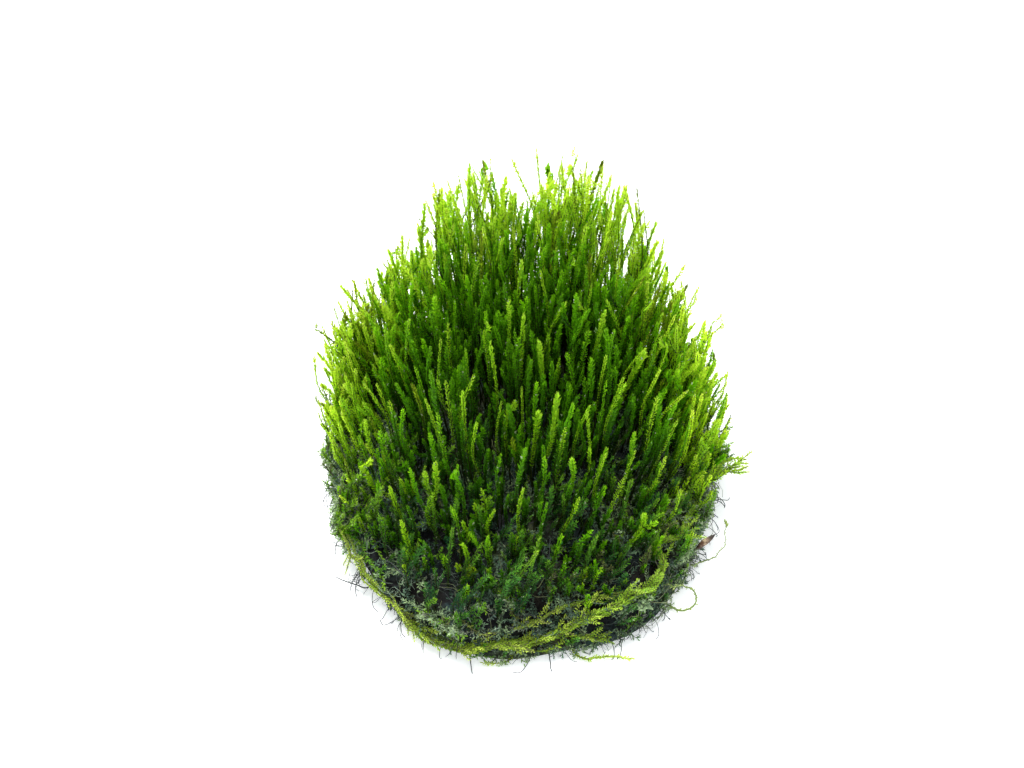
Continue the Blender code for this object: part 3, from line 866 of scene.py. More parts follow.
def grow_shoot(growth, course, tone, kind, first, size, stem=SHOOT_STEM):
    """A stem with its leaves."""
    grow_stem(growth, course, stem, kind["stem"] * 1.2, kind["stem"] * 0.5, min(tone, 1.0))
    grow_leaves(growth, course, kind, tone, first, size)


def grow_fork(growth, course, tone, kind, size):
    """A fork that leaves a shoot on one side and rises beside it."""
    rng = growth.rng
    length = min(rng.uniform(*FORK_LENGTHS) * MM, 0.6 * course.length)
    share = 1 - rng.uniform(0.9, 1.7) * length / course.length
    place, along, side, _ = course.at_one(max(share, 0.2))
    side = side * rng.choice((-1, 1))
    knots = [
        place,
        place + (along * 0.4 + side * 0.26) * length,
        within_box(place + (along + side * rng.uniform(0.24, 0.50)) * length),
    ]
    branch = Course(knots, np.cross(along, side), rng.normal(0, 0.5), 16)
    grow_shoot(growth, branch, tone, kind, 0.05, size, SHORT_STEM)


def within_box(tip):
    """The tip moved in where it would stand out past the solids' box, but for its leaves."""
    tip[:2] = np.clip(tip[:2], np.array(cad_box[0])[:2] - PROUD, np.array(cad_box[1])[:2] + PROUD)
    tip[2] = min(tip[2], cad_box[1][2] + PROUD)
    return tip


def foot_below(tip):
    """Where on the pad the shoot with this tip grows: the clump fans out and leans back as it rises."""
    rise = max(0.0, tip[2] - RIM_TOP)
    off = tip - PAD_CENTRE
    foot = PAD_CENTRE + (off[0] / (1 + FAN_SIDEWAYS * rise), off[1] / (1 + FAN_ALONG * rise), 0)
    to_right = ease(off[0], -0.6 * PAD_RADIUS, 0.6 * PAD_RADIUS)
    foot[0] -= LEAN_RIGHT_IN_FRONT * to_right * share_in_front(tip) * rise
    foot[1] -= LEAN_BACK * rise
    off = foot[:2] - PAD_CENTRE[:2]
    foot[:2] -= off * max(0.0, 1 - FOOT_REGION / max(FOOT_REGION, np.linalg.norm(off)))
    foot[2] = pad_top(foot[0], foot[1]) - FOOT_SINK
    return foot


def scattered_tip(rng, main_tip, is_main, to_back):
    """A shoot's tip: the main shoot's is near the solid's point, and the others stand round it, lower."""
    tip = main_tip.copy()
    off = rng.normal(0, MAIN_SCATTER if is_main else PLACE_SCATTER, 2)
    tip[:2] += np.clip(off, -FARTHEST_SCATTER, FARTHEST_SCATTER)
    tip[2] += rng.uniform(0, BACK_RISE) * ease(share_to_back(tip), 0.72, 0.95)
    tip = within_box(tip)
    lowered = 0.0
    if not is_main:
        lowered = rng.uniform(4.0 - 3.5 * to_back, 16.0 - 4.0 * to_back) * MM
    elif rng.random() < LOWERED_SHARE * (1 - 0.7 * to_back):
        lowered = rng.uniform(1.0, 7.0) * MM
    tip[2] = max(tip[2] - lowered, pad_top(tip[0], tip[1]) + SHORTEST_SHOOT)
    return tip


def tuft_tone(rng, lit, is_main, to_back):
    """An upright shoot's tone, with painted light and shade: brighter where the light comes through from
    behind, and darker where it stands lower in the clump.
    """
    middle = 0.51 + (0.38 - 0.12 * to_back) * lit
    tone = shoot_tone(rng, middle, 0.17, 0.03, 0.60 + 0.27 * lit)
    # Lower shoots are drawn darker: painted shade
    if not is_main:
        tone *= 0.28 + 0.68 * lit + 0.16 * to_back * (1 - lit)
    return AGED_TONE if rng.random() < 0.02 + 0.06 * lit else tone


def build_tuft(number, node):
    """A tuft of leafy shoots: round each point of its solid a main one and a few lower ones."""
    growth = Growth(1000 + number)
    rng = growth.rng
    for main_tip in MAIN_TIPS[node]:
        to_back = ease(share_to_back(main_tip), 0.22, 0.78)
        lit = share_lit(main_tip)
        in_view = lit > 0.5 or share_aside(main_tip) > 0.35
        wanted = MORE_AT_FRONT + (MORE_AT_BACK - MORE_AT_FRONT) * max(to_back, 0.6 * lit)
        count = 1 + int(wanted) + (rng.random() < wanted % 1)
        for i in range(count):
            tip = scattered_tip(rng, main_tip, i == 0, to_back)
            tone = tuft_tone(rng, lit, i == 0, to_back)
            kind = TUFT_KINDS[rng.integers(len(TUFT_KINDS))]
            if tip[2] < SPIKY_BELOW and rng.random() < SPIKY_SHARE:
                kind = SPIKY
            size = rng.triangular(0.66, 0.92, 1.28) - 0.08 * to_back
            course = shoot_course(rng, foot_below(tip), tip, rng.random() < KINKED_SHARE)
            first = 0.10 if in_view else max(0.10, 1 - SHOWN_LENGTH / course.length)
            grow_shoot(growth, course, tone, kind, first, size)
            if rng.random() < FORKED_SHARE:
                grow_fork(growth, course, tone, kind, size)
    add_piece(f"leafy_tuft_{number:02d}", growth.join("leafy_tuft"), MOSS_LEAF, "shoots", node)


# Thin stray shoots that stand out of the outline: where their tips are, in millimetres from the pad's middle
STRAY_TIPS = (
    (9.4, 39.5, 52.2), (1.8, 39.0, 52.2), (6.8, 37.6, 52.1), (-2.7, 36.1, 52.1), (-8.2, 36.0, 52.0),
    (-6.5, 34.0, 51.7), (-10.0, 34.0, 52.0), (6.2, 33.0, 51.9), (8.6, 34.0, 52.0), (11.5, 32.0, 51.2),
    (15.7, 33.5, 51.0), (18.5, 31.0, 50.4), (20.5, 32.0, 48.9), (21.9, 30.0, 45.3), (23.8, 30.0, 42.6),
    (25.9, 27.0, 40.5), (30.0, 23.0, 37.8), (29.3, 21.0, 35.5), (31.9, 21.0, 31.3), (35.4, 16.0, 32.0),
    (36.5, 15.0, 31.8), (35.7, 14.0, 25.6), (39.0, 11.0, 19.8), (-12.5, 32.0, 51.7), (-17.1, 31.0, 50.7),
    (-18.7, 30.0, 47.1), (-20.0, 29.0, 43.4), (-21.6, 25.0, 42.1), (-25.2, 25.0, 40.2), (-28.5, 21.0, 34.8),
    (-32.5, 19.0, 34.2), (-35.7, 15.0, 34.1), (-38.3, 13.0, 31.9), (-37.2, 10.0, 29.4), (-39.4, 8.0, 27.7),
    (-39.6, 8.0, 15.5), (-14.5, 31.5, 50.6), (-24.0, 24.5, 39.0), (-16.0, 31.0, 49.0), (13.5, 33.0, 50.5),
)

# Full shoots that fill the outline between the tufts, given in the same way
CROWN_TIPS = (
    (-8.5, 32.0, 50.7), (-7.2, 32.0, 51.7), (-10.3, 32.0, 51.2), (-4.5, 32.0, 50.2), (-2.9, 32.0, 48.4),
    (-1.3, 32.0, 46.9), (0.7, 32.0, 47.9), (2.2, 32.0, 49.9), (3.4, 32.0, 51.2), (5.4, 32.0, 50.2),
    (7.1, 32.0, 50.9), (9.1, 32.0, 49.6), (11.4, 32.0, 50.2), (16.7, 31.0, 48.8), (19.6, 30.0, 46.6),
    (18.0, 31.0, 49.3), (25.0, 28.0, 39.4), (26.2, 27.0, 37.8), (-18.5, 30.0, 45.2), (-17.3, 30.0, 46.7),
    (-20.0, 29.0, 42.1), (-22.2, 27.0, 39.6), (-25.3, 25.0, 39.0), (-31.9, 15.0, 33.6), (-33.5, 12.0, 33.6),
    (-34.8, 10.0, 29.4), (-37.3, 8.0, 23.8), (-38.0, 6.0, 17.7), (-38.6, 4.0, 11.6), (-36.0, 9.0, 27.0),
    (-32.8, 13.5, 31.5), (-6.0, 31.0, 47.0), (-3.6, 30.5, 45.0), (22.0, 29.0, 43.0), (-13.0, 31.0, 49.0),
    (14.6, 31.5, 50.6), (15.8, 31.5, 49.4), (17.2, 31.5, 50.6), (18.8, 31.0, 50.2), (19.6, 31.0, 48.4),
    (20.8, 31.0, 46.4), (22.4, 30.0, 44.8), (23.6, 29.5, 42.6), (-17.6, 31.0, 48.6), (-15.6, 31.0, 50.4),
    (34.9, 8.0, 24.2), (35.2, 7.0, 22.9), (36.1, 6.0, 20.9), (37.0, 5.0, 18.9), (37.5, 4.0, 16.6),
    (35.5, 5.0, 20.6), (36.1, 3.5, 19.4),
)


def build_strays():
    """The single shoots of the outline, whose tips are placed one by one."""
    growth = Growth(77)
    rng = growth.rng
    # Both kinds take bright tones: painted glow where the light comes through the outline
    for place in STRAY_TIPS:
        tip = within_box(PAD_CENTRE + np.array(place) * MM)
        tone = AGED_TONE if rng.random() < 0.3 else rng.uniform(0.66, 0.87)
        course = shoot_course(rng, foot_below(tip), tip, rng.random() < 0.3)
        grow_shoot(growth, course, tone, THIN, 0.08, rng.uniform(0.80, 1.15))
    for place in CROWN_TIPS:
        tip = PAD_CENTRE + (np.array(place) + rng.normal(0, 0.5, 3)) * MM
        course = shoot_course(rng, foot_below(tip), within_box(tip))
        grow_shoot(growth, course, rng.uniform(0.62, 0.87), UPRIGHT, 0.08, rng.uniform(0.70, 1.15))
    add_piece("stray_shoots", growth.join("stray_shoots"), MOSS_LEAF, "shoots")


RIM_SHOOTS = 360
# Shares of the rim's shoots that stand anywhere, at the left and at the right
RIM_SIDES = (0.70, 0.17, 0.13)
# Where these two sides are, in radians round the pad, and how far the shoots spread there
LEFT_SIDE = (2.8, 0.3)
RIGHT_SIDE = (0.1, 0.2)


def build_rim_shoots():
    """Shoots that lean out of the pad's shoulder all the way round, few of them at the front."""
    growth = Growth(61)
    rng = growth.rng
    for _ in range(RIM_SHOOTS):
        sides = (rng.uniform(0, 2 * math.pi), rng.normal(*LEFT_SIDE), rng.normal(*RIGHT_SIDE))
        out = way_out(rng.choice(sides, p=RIM_SIDES))
        at_front = ease(-out[1], 0.30, 0.85)
        at_back = ease(out[1], -0.1, 0.9)
        matted_left = ease(-out[1], -0.05, 0.20) * (out[0] < 0)
        if rng.random() < 0.8 * max(at_front, matted_left):
            continue
        foot, _ = skin(PAD_CENTRE + out * PAD_RADIUS * rng.uniform(0.80, 0.97) + UP * PAD_TOP, -FOOT_SINK)
        at_left = ease(-out[0], 0.5, 0.95)
        height = rng.uniform(0.50, 1.1) * (10.5 + 14 * at_back - 4 * at_front + 3 * at_left) * MM
        lean = out * rng.uniform(0.12, 0.24 + 0.14 * at_left) + rng.normal(0, 0.08, 3) * LEVEL
        lean[1] += LEAN_BACK * rng.uniform(0.3, 1.0)
        tip = within_box(foot + (UP + lean) * height)
        tip[2] = max(min(tip[2], canopy_top(tip) - 2 * MM), foot[2] + 4 * MM)
        # Brighter where the light comes through from behind and at the side rims: painted light
        bright = max(share_lit(tip), 0.8 * share_aside(tip))
        tone = shoot_tone(rng, 0.48 + 0.45 * bright, 0.13, 0.10 + 0.42 * share_aside(tip), 0.90)
        kind = (UPRIGHT, THIN, SPIKY)[rng.integers(3)]
        course = shoot_course(rng, foot, tip)
        grow_shoot(growth, course, tone, kind, 0.08, rng.uniform(0.70, 1.15))
        if rng.random() < FORKED_SHARE:
            grow_fork(growth, course, tone, kind, 0.9)
    add_piece("rim_shoots", growth.join("rim_shoots"), MOSS_LEAF, "shoots")


# The pad

CORE_SINK = 0.9 * MM
BROAD_LUMP = 6.5 * MM
SMALL_LUMP = 2.6 * MM
MATTED_BITS = 2300
BIT_LENGTHS = (1.8, 4.4)

# Hollows in the front slope, painted dark as shade: their places from the pad's middle, and their radii
SHADED_HOLLOWS = np.array((
    (-27.0, -23.0, 5.0), (-23.5, -29.5, 4.2), (-16.2, -29.2, 3.8), (-6.5, -36.0, 4.5), (-18.8, -21.8, 3.2),
    (-10.3, -23.5, 3.6), (3.3, -31.5, 4.4), (7.6, -22.9, 3.4), (13.5, -33.2, 4.2), (21.9, -26.3, 3.8),
)) * MM


def overgrown_light_and_shade(place):
    """How thickly the mat is grown over at a place: 0 in a hollow and 1 on a lump. Colours read from it paint
    shade in the hollows and light on the lumps.
    """
    lumps = noise.noise(Vector(place) / BROAD_LUMP) + 0.6 * noise.noise(Vector(place) / SMALL_LUMP)
    off = np.linalg.norm(place[:2] - PAD_CENTRE[:2] - SHADED_HOLLOWS[:, :2], axis=1) / SHADED_HOLLOWS[:, 2]
    hollow = np.exp(-2.0 * off * off).max()
    sagged = min(1.0, np.linalg.norm(sag(place)) / (2 * MM))
    return float(np.clip(max(0.55 + 0.65 * lumps - 0.9 * hollow, 0.34 * sagged), 0, 1))


def build_core():
    """The pad's own body, broken up with small lumps."""
    bm = pad_shape()
    grown = [overgrown_light_and_shade(np.array(v.co)) for v in bm.verts]
    moved = []
    for v, share in zip(bm.verts, grown):
        fine = noise.noise(v.co / (1.1 * MM)) * 0.55 + noise.noise(v.co / SMALL_LUMP) * 0.8
        standing = min(1.0, v.co.z / (1.5 * MM))
        moved.append(v.normal * ((fine + share - 1.35) * CORE_SINK * standing))
    for v, move in zip(bm.verts, moved):
        v.co += move
        v.co.z = max(v.co.z, 0.0)
    mesh = bpy.data.meshes.new("matted_core")
    bm.to_mesh(mesh)
    bm.free()
    # The core's tone: painted shade in the hollows, painted light on the lumps, and paler at the side rims
    paler = [share * (1 + share_pale_and_lit(v.co)) / 1.8 for v, share in zip(mesh.vertices, grown)]
    mesh.attributes.new(GROWN, "FLOAT", "POINT").data.foreach_set("value", paler)
    mesh.shade_smooth()
    add_piece("matted_core", mesh, OLD_MOSS, "old_moss", "moss_pad")


def on_pad(rng, shown_at_back):
    """A random place on the pad's skin with its outward direction, seldom where the shoots hide it."""
    while True:
        angle = rng.uniform(0, 2 * math.pi)
        radius = PAD_RADIUS * math.sqrt(rng.uniform(0.0, 1.2))
        height = rng.uniform(0.5, 14) * MM
        outside = PAD_CENTRE + (radius * math.cos(angle), radius * math.sin(angle), height)
        place, outward = skin(outside)
        hidden = place[1] > 4 * MM and outward[2] > 0.7 and radius < 0.9 * PAD_RADIUS
        if place[2] > 0.8 * MM and not (hidden and rng.random() > shown_at_back):
            return place, outward


def grown_place(rng, shown_at_back):
    """A random place on the pad's skin where it is grown over, with how thickly it is."""
    while True:
        place, outward = on_pad(rng, shown_at_back)
        share = overgrown_light_and_shade(place)
        if rng.random() < 0.15 + share + 0.5 * (place[2] < 4 * MM):
            return place, outward, share


def build_mat():
    """Short old bits that creep over the pad's skin in all directions."""
    growth = Growth(41)
    rng = growth.rng
    for _ in range(MATTED_BITS):
        place, outward, share = grown_place(rng, 0.2)
        ahead = across(rng.normal(0, 1, 3), outward)
        upright = max(0.0, outward[2])
        length = rng.uniform(*BIT_LENGTHS) * MM
        rise = rng.uniform(0.0, 0.15 + 0.5 * upright)
        knots = np.array([
            place - outward * 0.3 * MM,
            place + ahead * length * 0.5 + outward * length * (0.12 + 0.3 * rise),
            place + ahead * length + outward * length * rise,
        ])
        knots[2] = skin(knots[2], rise * length + 0.2 * MM)[0]
        course = Course(knots, outward, rng.normal(0, 1), 10)
        # Their tone paints shade and light: dark in the hollows, lighter on the lumps, and paler at the side
        # rims
        bright = 0.14 + 0.60 * share + 0.72 * share_pale_and_lit(place) * min(1.0, 2.5 * share)
        tone = shoot_tone(rng, bright, 0.14, 0.03, 0.87, aged=0.04)
        grow_shoot(growth, course, tone, MATTED, 0.05, 1.0, HAIR)
    add_piece("matted_bits", growth.join("matted_bits"), MAT_LEAF, "old_moss")


def grow_hair(growth, knots, radius, shape=HAIR, spot=None):
    """A hair along knots, at a place of its own on the colour map unless one is given."""
    rng = growth.rng
    course = Course(raised(knots, LOWEST), UP + 0.01, 0.0, 14)
    points, faces = shape
    place, _, side, flat = course.at(points[:, 2])
    placed = place + (points[:, :1] * side + points[:, 1:2] * flat) * radius
    if spot is None:
        spot = rng.uniform(0.03, 0.93, 2)
    shades = spot + 0.03 * points[:, [2, 0]]
    growth.add(placed[None], faces, shades[None])


FUZZ_BALLS = 120
BALL_SIZES = (0.8, 1.9)
HAIRS_IN_BALL = 16
BALL_HAIR_RADII = (0.035, 0.060)
LOOSE_HAIRS = 1300
HAIR_LENGTHS = (1.0, 3.2)
HAIR_RADII = (0.030, 0.055)


def fuzz_spot(rng, place):
    """A place on the colour map for hairs: paler where the old moss is drawn paler, partly its own colour and
    partly painted light, but for its very foot.
    """
    tone = 0.23 + 0.80 * share_pale_and_lit(place) * min(1.0, place[2] / (3 * MM)) + rng.normal(0, 0.15)
    return np.array((rng.uniform(0.05, 0.90), np.clip(tone, 0.05, 0.92)))


def build_fuzz():
    """Fine grey hairs over the mat: many in round balls, and others that stand and curl alone."""
    growth = Growth(43)
    rng = growth.rng
    for _ in range(FUZZ_BALLS):
        middle, outward, _ = grown_place(rng, 0.05)
        spot = fuzz_spot(rng, middle)
        size = rng.uniform(*BALL_SIZES) * MM
        for _ in range(HAIRS_IN_BALL):
            aim = unit(outward + rng.normal(0, 0.75, 3))
            curl = across(rng.normal(0, 1, 3), aim) * size
            start = middle - outward * 0.3 * MM + across(aim, outward) * size * 0.4
            knots = [start, start + aim * size * 0.6 + curl * 0.1, start + aim * size + curl * 0.5]
            near_spot = np.clip(spot + rng.normal(0, 0.01, 2), 0.02, 0.94)
            grow_hair(growth, knots, rng.uniform(*BALL_HAIR_RADII) * MM, HAIR, near_spot)
    for _ in range(LOOSE_HAIRS):
        place, outward = on_pad(rng, 0.05)
        ahead = across(rng.normal(0, 1, 3), outward)
        length = rng.uniform(*HAIR_LENGTHS) * MM
        curl = across(rng.normal(0, 1, 3), outward)
        knots = [
            place - outward * 0.2 * MM,
            place + outward * length * 0.35 + ahead * length * 0.2,
            place + outward * length * 0.45 + ahead * length * 0.6 + curl * length * 0.15,
            place + outward * length * rng.uniform(0.1, 0.5) + ahead * length * 0.8 + curl * length * 0.5,
        ]
        grow_hair(growth, knots, rng.uniform(*HAIR_RADII) * MM, HAIR, fuzz_spot(rng, place))
    add_piece("grey_fuzz", growth.join("grey_fuzz"), GREY_FUZZ, "old_moss")


# The wall at the front right that is nearly bare: where it begins, from the pad's middle, and how bare it is
WALL_FROM_X = 26 * MM
WALL_TO_Y = -5 * MM
WALL_TOP = 8 * MM
WALL_BARE_SHARE = 0.7


def front_place(rng, room, aside=0.4):
    """A random place on the pad's front slope or near its side rims, outside its hollows.

    room is how far it must be from the runners, and aside is the share of places at the side rims that count.
    """
    while True:
        place, outward = on_pad(rng, 0.0)
        beside = aside * share_aside(place) * ease(-place[1], -16 * MM, -2 * MM)
        wanted = 0.2 * aside * (place[1] < 10 * MM) + max(ease(-place[1], -8 * MM, 14 * MM), beside)
        hollow = overgrown_light_and_shade(place) < 0.25 and rng.random() < 0.85
        off = place - PAD_CENTRE
        on_wall = off[0] > WALL_FROM_X and off[1] < WALL_TO_Y and off[2] < WALL_TOP
        bare = on_wall and rng.random() < WALL_BARE_SHARE
        if rng.random() < wanted and not hollow and not bare and from_runners(place) >= room:
            return place, outward


SPRIGS = 480
SPRIG_HEIGHTS = (2.5, 9.0)
TALL_SPRIGS = 0.16
TALL_HEIGHTS = (8.0, 15.0)
# The shoots that show most on the front slope: their feet and tips, in millimetres from the pad's middle,
# and the size of their leaves
FRONT_SHOOTS = (
    ((-12.6, -23.8, 10.2), (-11.7, -20.0, 22.6), 1.15), ((-7.3, -24.0, 11.7), (-7.8, -20.5, 21.3), 1.25),
    ((-6.1, -22.2, 11.5), (-5.5, -19.0, 20.7), 0.95), ((3.5, -21.3, 12.5), (5.4, -17.0, 22.9), 1.10),
    ((10.8, -19.1, 11.8), (9.9, -17.0, 16.8), 0.80), ((10.8, -28.7, 9.3), (13.2, -25.0, 18.9), 1.30),
    ((17.5, -18.3, 11.5), (19.7, -14.5, 21.3), 1.15), ((-8.6, -14.6, 12.2), (-8.6, -12.5, 20.2), 0.90),
    ((-15.9, -23.5, 9.6), (-16.1, -19.5, 20.5), 0.85), ((-16.6, -10.9, 12.6), (-15.8, -9.0, 19.8), 0.90),
    ((-0.2, -35.0, 7.2), (3.1, -26.0, 20.2), 1.05), ((-17.9, -33.0, 3.7), (-16.5, -31.0, 6.2), 0.90),
    ((-9.7, -38.0, 7.0), (-6.5, -35.5, 13.2), 1.10), ((4.6, -30.4, 8.1), (6.5, -26.0, 16.7), 1.00),
    ((-2.4, -28.1, 10.7), (-3.6, -26.0, 14.8), 0.80), ((17.9, -26.7, 8.2), (18.0, -24.5, 12.3), 0.90),
    ((16.8, -27.4, 8.0), (19.8, -25.0, 11.8), 0.90), ((-13.4, -30.4, 8.2), (-12.4, -24.0, 19.6), 0.95),
    ((-11.4, -25.8, 9.7), (-9.0, -23.5, 15.7), 0.85), ((-22.9, -20.5, 7.8), (-23.2, -17.0, 19.6), 0.95),
    ((-24.6, -23.7, 7.8), (-26.0, -20.5, 18.3), 0.90),
)


def build_sprigs():
    """Short spiky shoots on the front slope and round the rim, leaning out, up and to the right."""
    growth = Growth(45)
    rng = growth.rng
    for foot, tip, size in FRONT_SHOOTS:
        foot = PAD_CENTRE + np.array(foot) * MM
        tip = PAD_CENTRE + np.array(tip) * MM
        bend = foot + (tip - foot) * (0.35, 0.35, 0.5) + rng.normal(0, 0.3, 3) * MM
        course = Course([foot, bend, tip], rng.normal(0, 1, 3) - (0, 0.6, 0), rng.normal(0, 0.6), 24)
        grow_shoot(growth, course, rng.uniform(0.46, 0.70), SPIKY, 0.04, size, SHORT_STEM)
        if rng.random() < 0.6:
            grow_fork(growth, course, 0.5, SPIKY, 0.8 * size)
    for _ in range(SPRIGS):
        place, outward = front_place(rng, 2.2 * MM)
        out = (place - PAD_CENTRE) * LEVEL / PAD_RADIUS
        lean = 0.15 * out + np.array((0.25 - 0.15 * out[0], 0.15, 0.0)) + rng.normal(0, 0.20, 3) * LEVEL
        height = rng.uniform(*SPRIG_HEIGHTS) * MM * (1.0 if outward[2] > 0.6 else 0.5)
        tall = outward[2] > 0.6 and rng.random() < TALL_SPRIGS
        if tall:
            height = rng.uniform(*TALL_HEIGHTS) * MM
        start = place - outward * 0.4 * MM
        push = outward * LEVEL * 0.12
        tip = within_box(start + (UP + lean * 0.8 + push) * height)
        bend = start + (UP * 0.45 + lean * 0.2 + push * 1.3) * height + rng.normal(0, 0.3, 3) * MM
        course = Course([start, bend, tip], rng.normal(0, 1, 3) + 0.1, rng.normal(0, 0.8), 16)
        # Their tone is brighter on lumps and at the side rims with painted light, darker in hollows with
        # painted shade, and a little brighter on tall sprigs
        bright = 0.30 + 0.20 * overgrown_light_and_shade(place) + (0.42 - 0.15 * out[0]) * share_aside(place) + 0.12 * tall
        tone = shoot_tone(rng, bright, 0.22, 0.03, 0.88, aged=0.08)
        grow_shoot(growth, course, tone, SPIKY, 0.08, rng.uniform(0.65, 1.05), SHORT_STEM)
        if rng.random() < 0.35:
            grow_fork(growth, course, tone, SPIKY, 0.8)
    add_piece("front_sprigs", growth.join("front_sprigs"), SPRIG_LEAF, "shoots")


CREEPERS = 80
CREEPER_LENGTHS = (5.0, 15.0)
CREEPER_STEP = 1.6 * MM
CREEPER_WANDER = 0.30


def creeping_knots(rng, start, heading, length, lift):
    """Knots of a stem that creeps over the pad's skin from a place, and wanders as it goes."""
    knots = []
    place, outward = skin(start, lift)
    for _ in range(max(3, round(length / CREEPER_STEP))):
        knots.append(place)
        heading = across(heading + rng.normal(0, CREEPER_WANDER, 3), outward)
        place, outward = skin(place + heading * CREEPER_STEP, lift * rng.uniform(0.6, 1.6))
    return knots


def build_creepers():
    """Yellow-green stems that creep round the rim and over the front slope."""
    growth = Growth(47)
    rng = growth.rng
    for _ in range(CREEPERS):
        place, outward = front_place(rng, 1.5 * MM)
        around = np.cross(UP, place - PAD_CENTRE)
        heading = unit(around) * rng.choice((1, 1, -1)) + UP * rng.uniform(-0.2, 0.5)
        length = rng.uniform(*CREEPER_LENGTHS) * MM
        knots = creeping_knots(rng, place, heading, length, 0.6 * MM)
        tone = shoot_tone(rng, 0.30, 0.18, 0.03, 0.88, aged=0.2)
        course = Course(knots, UP + 0.2 * outward, rng.normal(0, 1.0), 40)
        grow_shoot(growth, course, tone, MATTED, 0.0, 1.05)
    add_piece("creeping_stems", growth.join("creeping_stems"), RUNNER_LEAF, "runners")


ARC_SPANS = (3.0, 9.0)


def build_arcs(name, seed, count, material, radius, reach):
    """Fine threads that arch over the mat from one place to another, or end free."""
    growth = Growth(seed)
    rng = growth.rng
    for _ in range(count):
        place, outward = front_place(rng, 1.5 * MM, 0.05)
        ahead = across(rng.normal(0, 1, 3), outward)
        span = rng.uniform(*ARC_SPANS) * MM
        landing, _ = skin(place + ahead * span, 0.1 * MM)
        height = span * rng.uniform(0.10, reach)
        sway = across(rng.normal(0, 1, 3), outward) * span * 0.15
        knots = [
            place - outward * 0.2 * MM,
            place * 0.7 + landing * 0.3 + outward * height * 0.85 + sway,
            place * 0.3 + landing * 0.7 + outward * height - sway * 0.5,
            landing + outward * height * rng.choice((0.0, 0.0, 0.8)),
        ]
        grow_hair(growth, knots, rng.uniform(0.7, 1.3) * radius, LONG_HAIR)
    add_piece(name, growth.join(name), material, "threads")


# The sides where most hooked threads hang out: their directions round the pad in degrees, and their spread
HOOKED_SIDES = ((-143, 10), (-143, 10), (-128, 7), (-175, 12), (-22, 14), (-22, 14), (-58, 10), (-80, 60))
HOOKED_THREADS = 90
HOOK_LENGTHS = (1.2, 4.0)


def build_fringe():
    """Thin dark hooked threads that hang out of the pad's side, and bend down to the surface."""
    growth = Growth(55)
    rng = growth.rng
    for _ in range(HOOKED_THREADS):
        middle, spread = HOOKED_SIDES[rng.integers(len(HOOKED_SIDES))]
        out = way_out(math.radians(rng.normal(middle, spread)))
        place, _ = skin(PAD_CENTRE + out * 1.1 * PAD_RADIUS + UP * rng.uniform(0.6, 5.5) * MM)
        length = rng.uniform(*HOOK_LENGTHS) * MM
        aside = np.cross(UP, out) * rng.uniform(-1, 1) * length
        drop = min(place[2], rng.uniform(0.5, 3.5) * MM)
        knots = [
            place - out * 0.4 * MM,
            place + out * length * 0.5 + aside * 0.2 + UP * 0.1 * length,
            place + out * length * 0.9 + aside * 0.6 - UP * drop * 0.6,
            within_box(place + out * length * rng.uniform(0.7, 1.1) + aside - UP * drop),
        ]
        grow_hair(growth, knots, rng.uniform(0.05, 0.10) * MM, LONG_HAIR)
    add_piece("hooked_threads", growth.join("hooked_threads"), DARK_THREAD, "threads")


# Runners, strands, threads and the dead leaf

def line_outward(node, step=1.0 * MM):
    """A loose strand's line from the pad to its free end."""
    line = centre_line(node, step)
    from_middle = np.linalg.norm(line[[0, -1]] - PAD_CENTRE, axis=1)
    return line if from_middle[0] < from_middle[1] else line[::-1]


# The runners that carry on into another one, and how many points along it they meet it
CARRIED_ON = {
    "runner_left": ("runner_front", 1), "runner_front": ("runner_right", 1),
    "runner_upper": ("runner_front", 33),
}
GREENER_FROM = -5 * MM
GREENER_TO = 30 * MM
# Where the right runner has left the pad, and its stems stand apart
FREE_END = 38 * MM


def runner_tone(rng, place):
    """Yellow-green in front, greener to the right, and bright again at the right end."""
    to_right = ease(place[0], GREENER_FROM, GREENER_TO)
    at_end = ease(place[0], GREENER_TO, FREE_END)
    return shoot_tone(rng, 0.82 - 0.32 * to_right + 0.30 * at_end, 0.08, 0.15, 0.87)


# How many leafy stems each runner has, and the size of their leaves
RUNNER_STEMS = {
    "runner_left": (3, 0.75), "runner_front": (5, 1.0), "runner_front_fork": (2, 0.9),
    "runner_upper": (2, 0.75), "runner_right": (4, 1.15),
}
# The stems wind round each other by this angle, in radians, over this length
WOUND_ANGLE = 2.5
WOUND_LENGTH = 20 * MM
BRANCH_SPACING = 1.2 * MM
BRANCH_LENGTHS = (1.8, 5.5)


